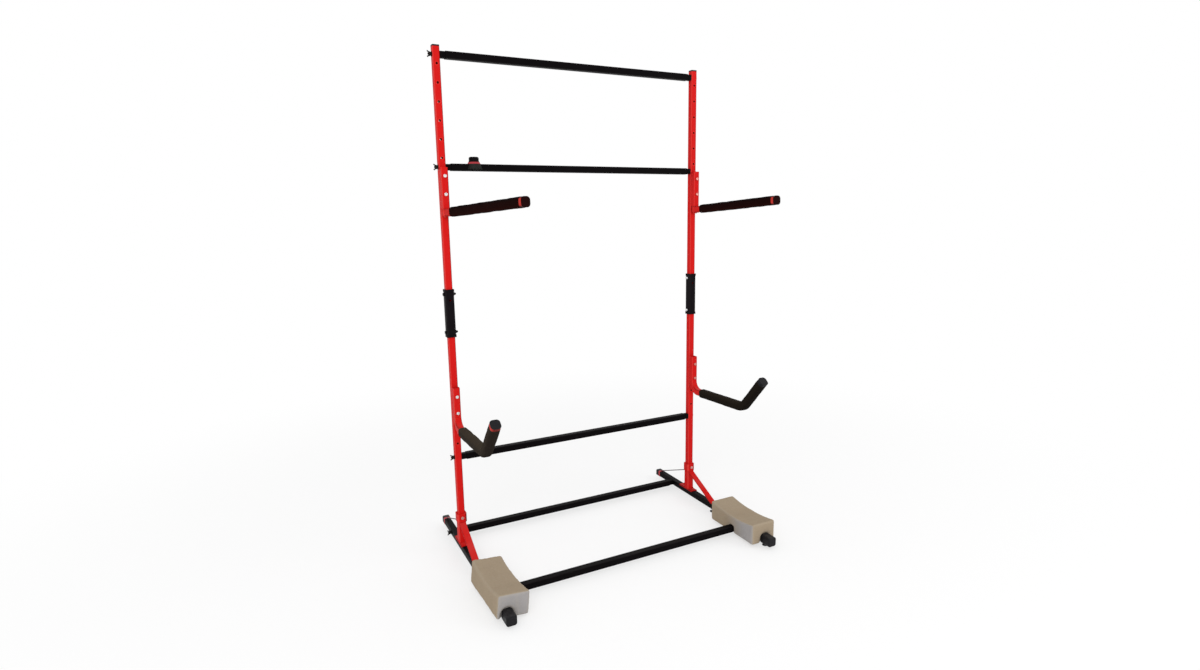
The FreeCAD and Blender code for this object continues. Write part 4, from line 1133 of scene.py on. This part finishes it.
class KAYAK_OT_fasteners(bpy.types.Operator):
    """Adds the threaded bolts, studs and lock nuts"""

    bl_idname = "kayak_stand.fasteners"
    bl_label = "Bolts and nuts"

    def execute(self, context):
        sizes, stand = settings("fasteners"), settings("sizes")
        extra = sizes.nut_height + sizes.thread_end
        visible = sizes.thread_end + 0.0015
        frame_bolts, arm_bolts, bar_bolts, nuts, studs = [], [], [], [], []
        for side, sign in SIDES.items():
            inward = X * -sign
            for offset in (-stand.sleeve_bolt_offset, stand.sleeve_bolt_offset):
                half, z = stand.sleeve_half, stand.sleeve_middle + offset
                face = stand_point(side, half, 0, z)
                frame_bolts.append(bolt(face, inward, 2 * half + extra, visible, sizes))
                nuts.append(lock_nut(stand_point(side, -half, 0, z), inward, sizes))
            half = stand.collar_half
            collar = stand_point(side, 0, -half, stand.collar_bolt)
            frame_bolts.append(bolt(collar, Y, 2 * half + extra, visible, sizes))
            nuts.append(lock_nut(stand_point(side, 0, half, stand.collar_bolt), Y, sizes))
            for z in arm_bolt_heights():
                face = stand_point(side, 0, -stand.arm_drop - stand.half_tube, z)
                arm_bolts.append(bolt(face, Y, 4 * stand.half_tube + extra, visible, sizes))
                nuts.append(lock_nut(stand_point(side, 0, stand.half_tube, z), Y, sizes))
            for name, (y, z) in bar_places().items():
                face = stand_point(side, stand.half_tube, y, z)
                if side == "right" or name == "front_base_bar":
                    bar_bolts.append(bolt(face, inward, sizes.plug_depth, 0.002, sizes))
                else:
                    studs.append(self.stud(face, sizes))
        for name, shells, node, finish in (
                ("frame_bolts_threaded", frame_bolts, "frame_bolts", "bright_zinc"),
                ("arm_bolts_threaded", arm_bolts, "arm_bolts", "bright_zinc"),
                ("bar_bolts_threaded", bar_bolts, "bar_bolts", "bright_zinc"),
                ("bar_studs_threaded", studs, "bar_studs", "cast_zinc"),
                ("lock_nuts_turned", nuts, "lock_nuts", "bright_zinc")):
            add_piece(name, shells, "frame", [node], finish_of(finish), sharp=34)
        return {"FINISHED"}

    def stud(self, face, sizes):
        """Stud that runs through the left upright, threaded where it stands out."""
        return shell(circle(face, -X, *rod(-sizes.plug_depth, 0.0, sizes.washer + sizes.stud_end, sizes)))


class KAYAK_OT_wing_nuts(bpy.types.Operator):
    """Adds the cast wing nuts of the left bar ends"""

    bl_idname = "kayak_stand.wing_nuts"
    bl_label = "Wing nuts"
    # Conical hub: distance along the stud and radius of each ring, out and back through the bore.
    hub = [(0.0, 0.0059), (0.0004, 0.0064), (0.0013, 0.0065), (0.0022, 0.0062), (0.0050, 0.0056),
           (0.0072, 0.0052), (0.0079, 0.0049), (0.0080, 0.0045), (0.0078, 0.00405), (0.0030, 0.00405),
           (0.0002, 0.00405), (0.0, 0.0044)]
    # Where a wing's middle line starts and nearly ends: out along the stud, and away from it.
    wing_root, wing_tip = (0.0038, 0.0046), (0.0122, 0.0090)
    wing_past_tip, wing_bulge = 0.0022, 0.0007

    def execute(self, context):
        sizes, stand = settings("fasteners"), settings("sizes")
        for name, (y, z) in bar_places().items():
            if name == "front_base_bar":
                continue
            foot = stand_point("left", stand.half_tube + sizes.washer + sizes.wing_gap, y, z)
            shells = [turned(self.hub, foot, -X, bored=True)]
            for up in (1, -1):
                root = foot - X * self.wing_root[0] + Z * (up * self.wing_root[1])
                tip = foot - X * self.wing_tip[0] + Z * (up * self.wing_tip[1])
                way = unit(tip - root)
                reach = float(np.linalg.norm(tip - root)) + self.wing_past_tip
                shells.append(blade(root, way, np.cross(way, Y) * up, Y, reach, self.wing_bulge))
            add_piece("wing_nut_cast_" + name, shells, "wing_nut_on_" + name, ["wing_nut_" + name],
                      finish_of("cast_zinc"), sharp=50)
        return {"FINISHED"}


class KAYAK_OT_feet(bpy.types.Operator):
    """Adds the moulded foot pads and their threaded stems"""

    bl_idname = "kayak_stand.feet"
    bl_label = "Feet"

    def execute(self, context):
        sizes = settings("fasteners")
        pads, stems = [], []
        radius, height = sizes.foot_radius, sizes.foot_height
        profile = [(0.0, radius * 0.80), (0.0, radius * 0.90), (0.0004, radius * 0.96), (0.0012, radius),
                   (0.0026, radius), (0.0034, radius * 0.95), (0.0040, radius * 0.80),
                   (0.0043, radius * 0.62), (height - 0.0002, radius * 0.58), (height, radius * 0.52),
                   (height, radius * 0.3)]
        for side in SIDES:
            for y in (sizes.front_foot, sizes.middle_foot, sizes.rear_foot):
                foot = np.array([SIDES[side] * settings("sizes").side_x, y, 0.0])
                pads.append(turned(profile, foot, Z))
                along, thread = thread_rings(sizes.leg_height, height - 0.0001, sizes)
                stems.append(shell(circle(foot, Z, along, thread)))
        add_piece("foot_pads_moulded", pads, "frame", ["foot_pads"],
                  finish_of("foot_rubber"), sharp=50)
        add_piece("foot_stems_threaded", stems, "frame", ["foot_studs"],
                  finish_of("bright_zinc"), sharp=34)
        return {"FINISHED"}


class KAYAK_OT_welds(bpy.types.Operator):
    """Adds the weld beads of the sockets, braces and arm knuckles"""

    bl_idname = "kayak_stand.welds"
    bl_label = "Weld beads"
    knuckle_reach, knuckle_bead = 0.014, 0.0010  # the knuckle's bead: distance from the pin, and radius

    def execute(self, context):
        stand, bead = settings("sizes"), settings("fasteners").bead
        slope = math.atan2(stand.brace_head - stand.leg_top, stand.brace_foot - stand.socket_half)
        beads = []
        for seed, side in enumerate(SIDES):
            beads.append(weld(stand_point(side, 0, 0, stand.saddle_top), X, Y, stand.socket_half,
                              stand.socket_half, stand.socket_corner, bead, 100 + seed))
            half = stand.brace_thickness / 2
            beads.append(weld(stand_point(side, 0, -stand.socket_half, stand.brace_head), X, Z,
                              stand.half_tube, half / math.cos(slope), 0.001, bead, 110 + seed))
            beads.append(weld(stand_point(side, 0, -stand.brace_foot, stand.leg_top), X, Y,
                              stand.half_tube, half / math.sin(slope), 0.001, bead, 120 + seed))
            pivot, direction, side_way = upper_arm_axis(side)
            knuckle = weld(pivot + direction * self.knuckle_reach, side_way, np.cross(side_way, direction),
                           stand.half_tube, stand.half_tube, 0.003, self.knuckle_bead, 130 + seed)
            add_piece("knuckle_weld_" + side, [knuckle], "upper_arm_" + side, [],
                      finish_of("red_powder_coat"))
        add_piece("base_welds", beads, "frame", [], finish_of("red_powder_coat"))
        return {"FINISHED"}


GROUPS = {"sizes": StandSizes, "foam": FoamSizes, "fasteners": FastenerSizes, "colours": FinishColours,
          "stage": StageSettings}
OPERATORS = (KAYAK_OT_stage, KAYAK_OT_finishes, KAYAK_OT_upper_sleeves, KAYAK_OT_hooked_sleeves,
             KAYAK_OT_foam_blocks, KAYAK_OT_fasteners, KAYAK_OT_wing_nuts, KAYAK_OT_feet, KAYAK_OT_welds)


class KAYAK_PT_panel(bpy.types.Panel):
    """Lists the stand's operators and settings"""

    bl_idname = "KAYAK_PT_panel"
    bl_label = "Kayak stand"
    bl_space_type = "VIEW_3D"
    bl_region_type = "UI"
    bl_category = "Kayak stand"

    def draw(self, context):
        for operator in OPERATORS:
            self.layout.operator(operator.bl_idname)
        for name, group in GROUPS.items():
            box = self.layout.box()
            box.label(text=name.capitalize())
            for key in group.__annotations__:
                box.prop(settings(name), key)


def register():
    for kind in (*GROUPS.values(), *OPERATORS, KAYAK_PT_panel):
        bpy.utils.register_class(kind)
    for name, group in GROUPS.items():
        setattr(bpy.types.Scene, "stand_" + name, PointerProperty(type=group))


def unregister():
    for name in GROUPS:
        delattr(bpy.types.Scene, "stand_" + name)
    for kind in (KAYAK_PT_panel, *reversed(OPERATORS), *GROUPS.values()):
        bpy.utils.unregister_class(kind)


def main():
    register()
    for operator in OPERATORS:
        getattr(bpy.ops.kayak_stand, operator.bl_idname.split(".")[1])()


if __name__ == "__main__":
    main()
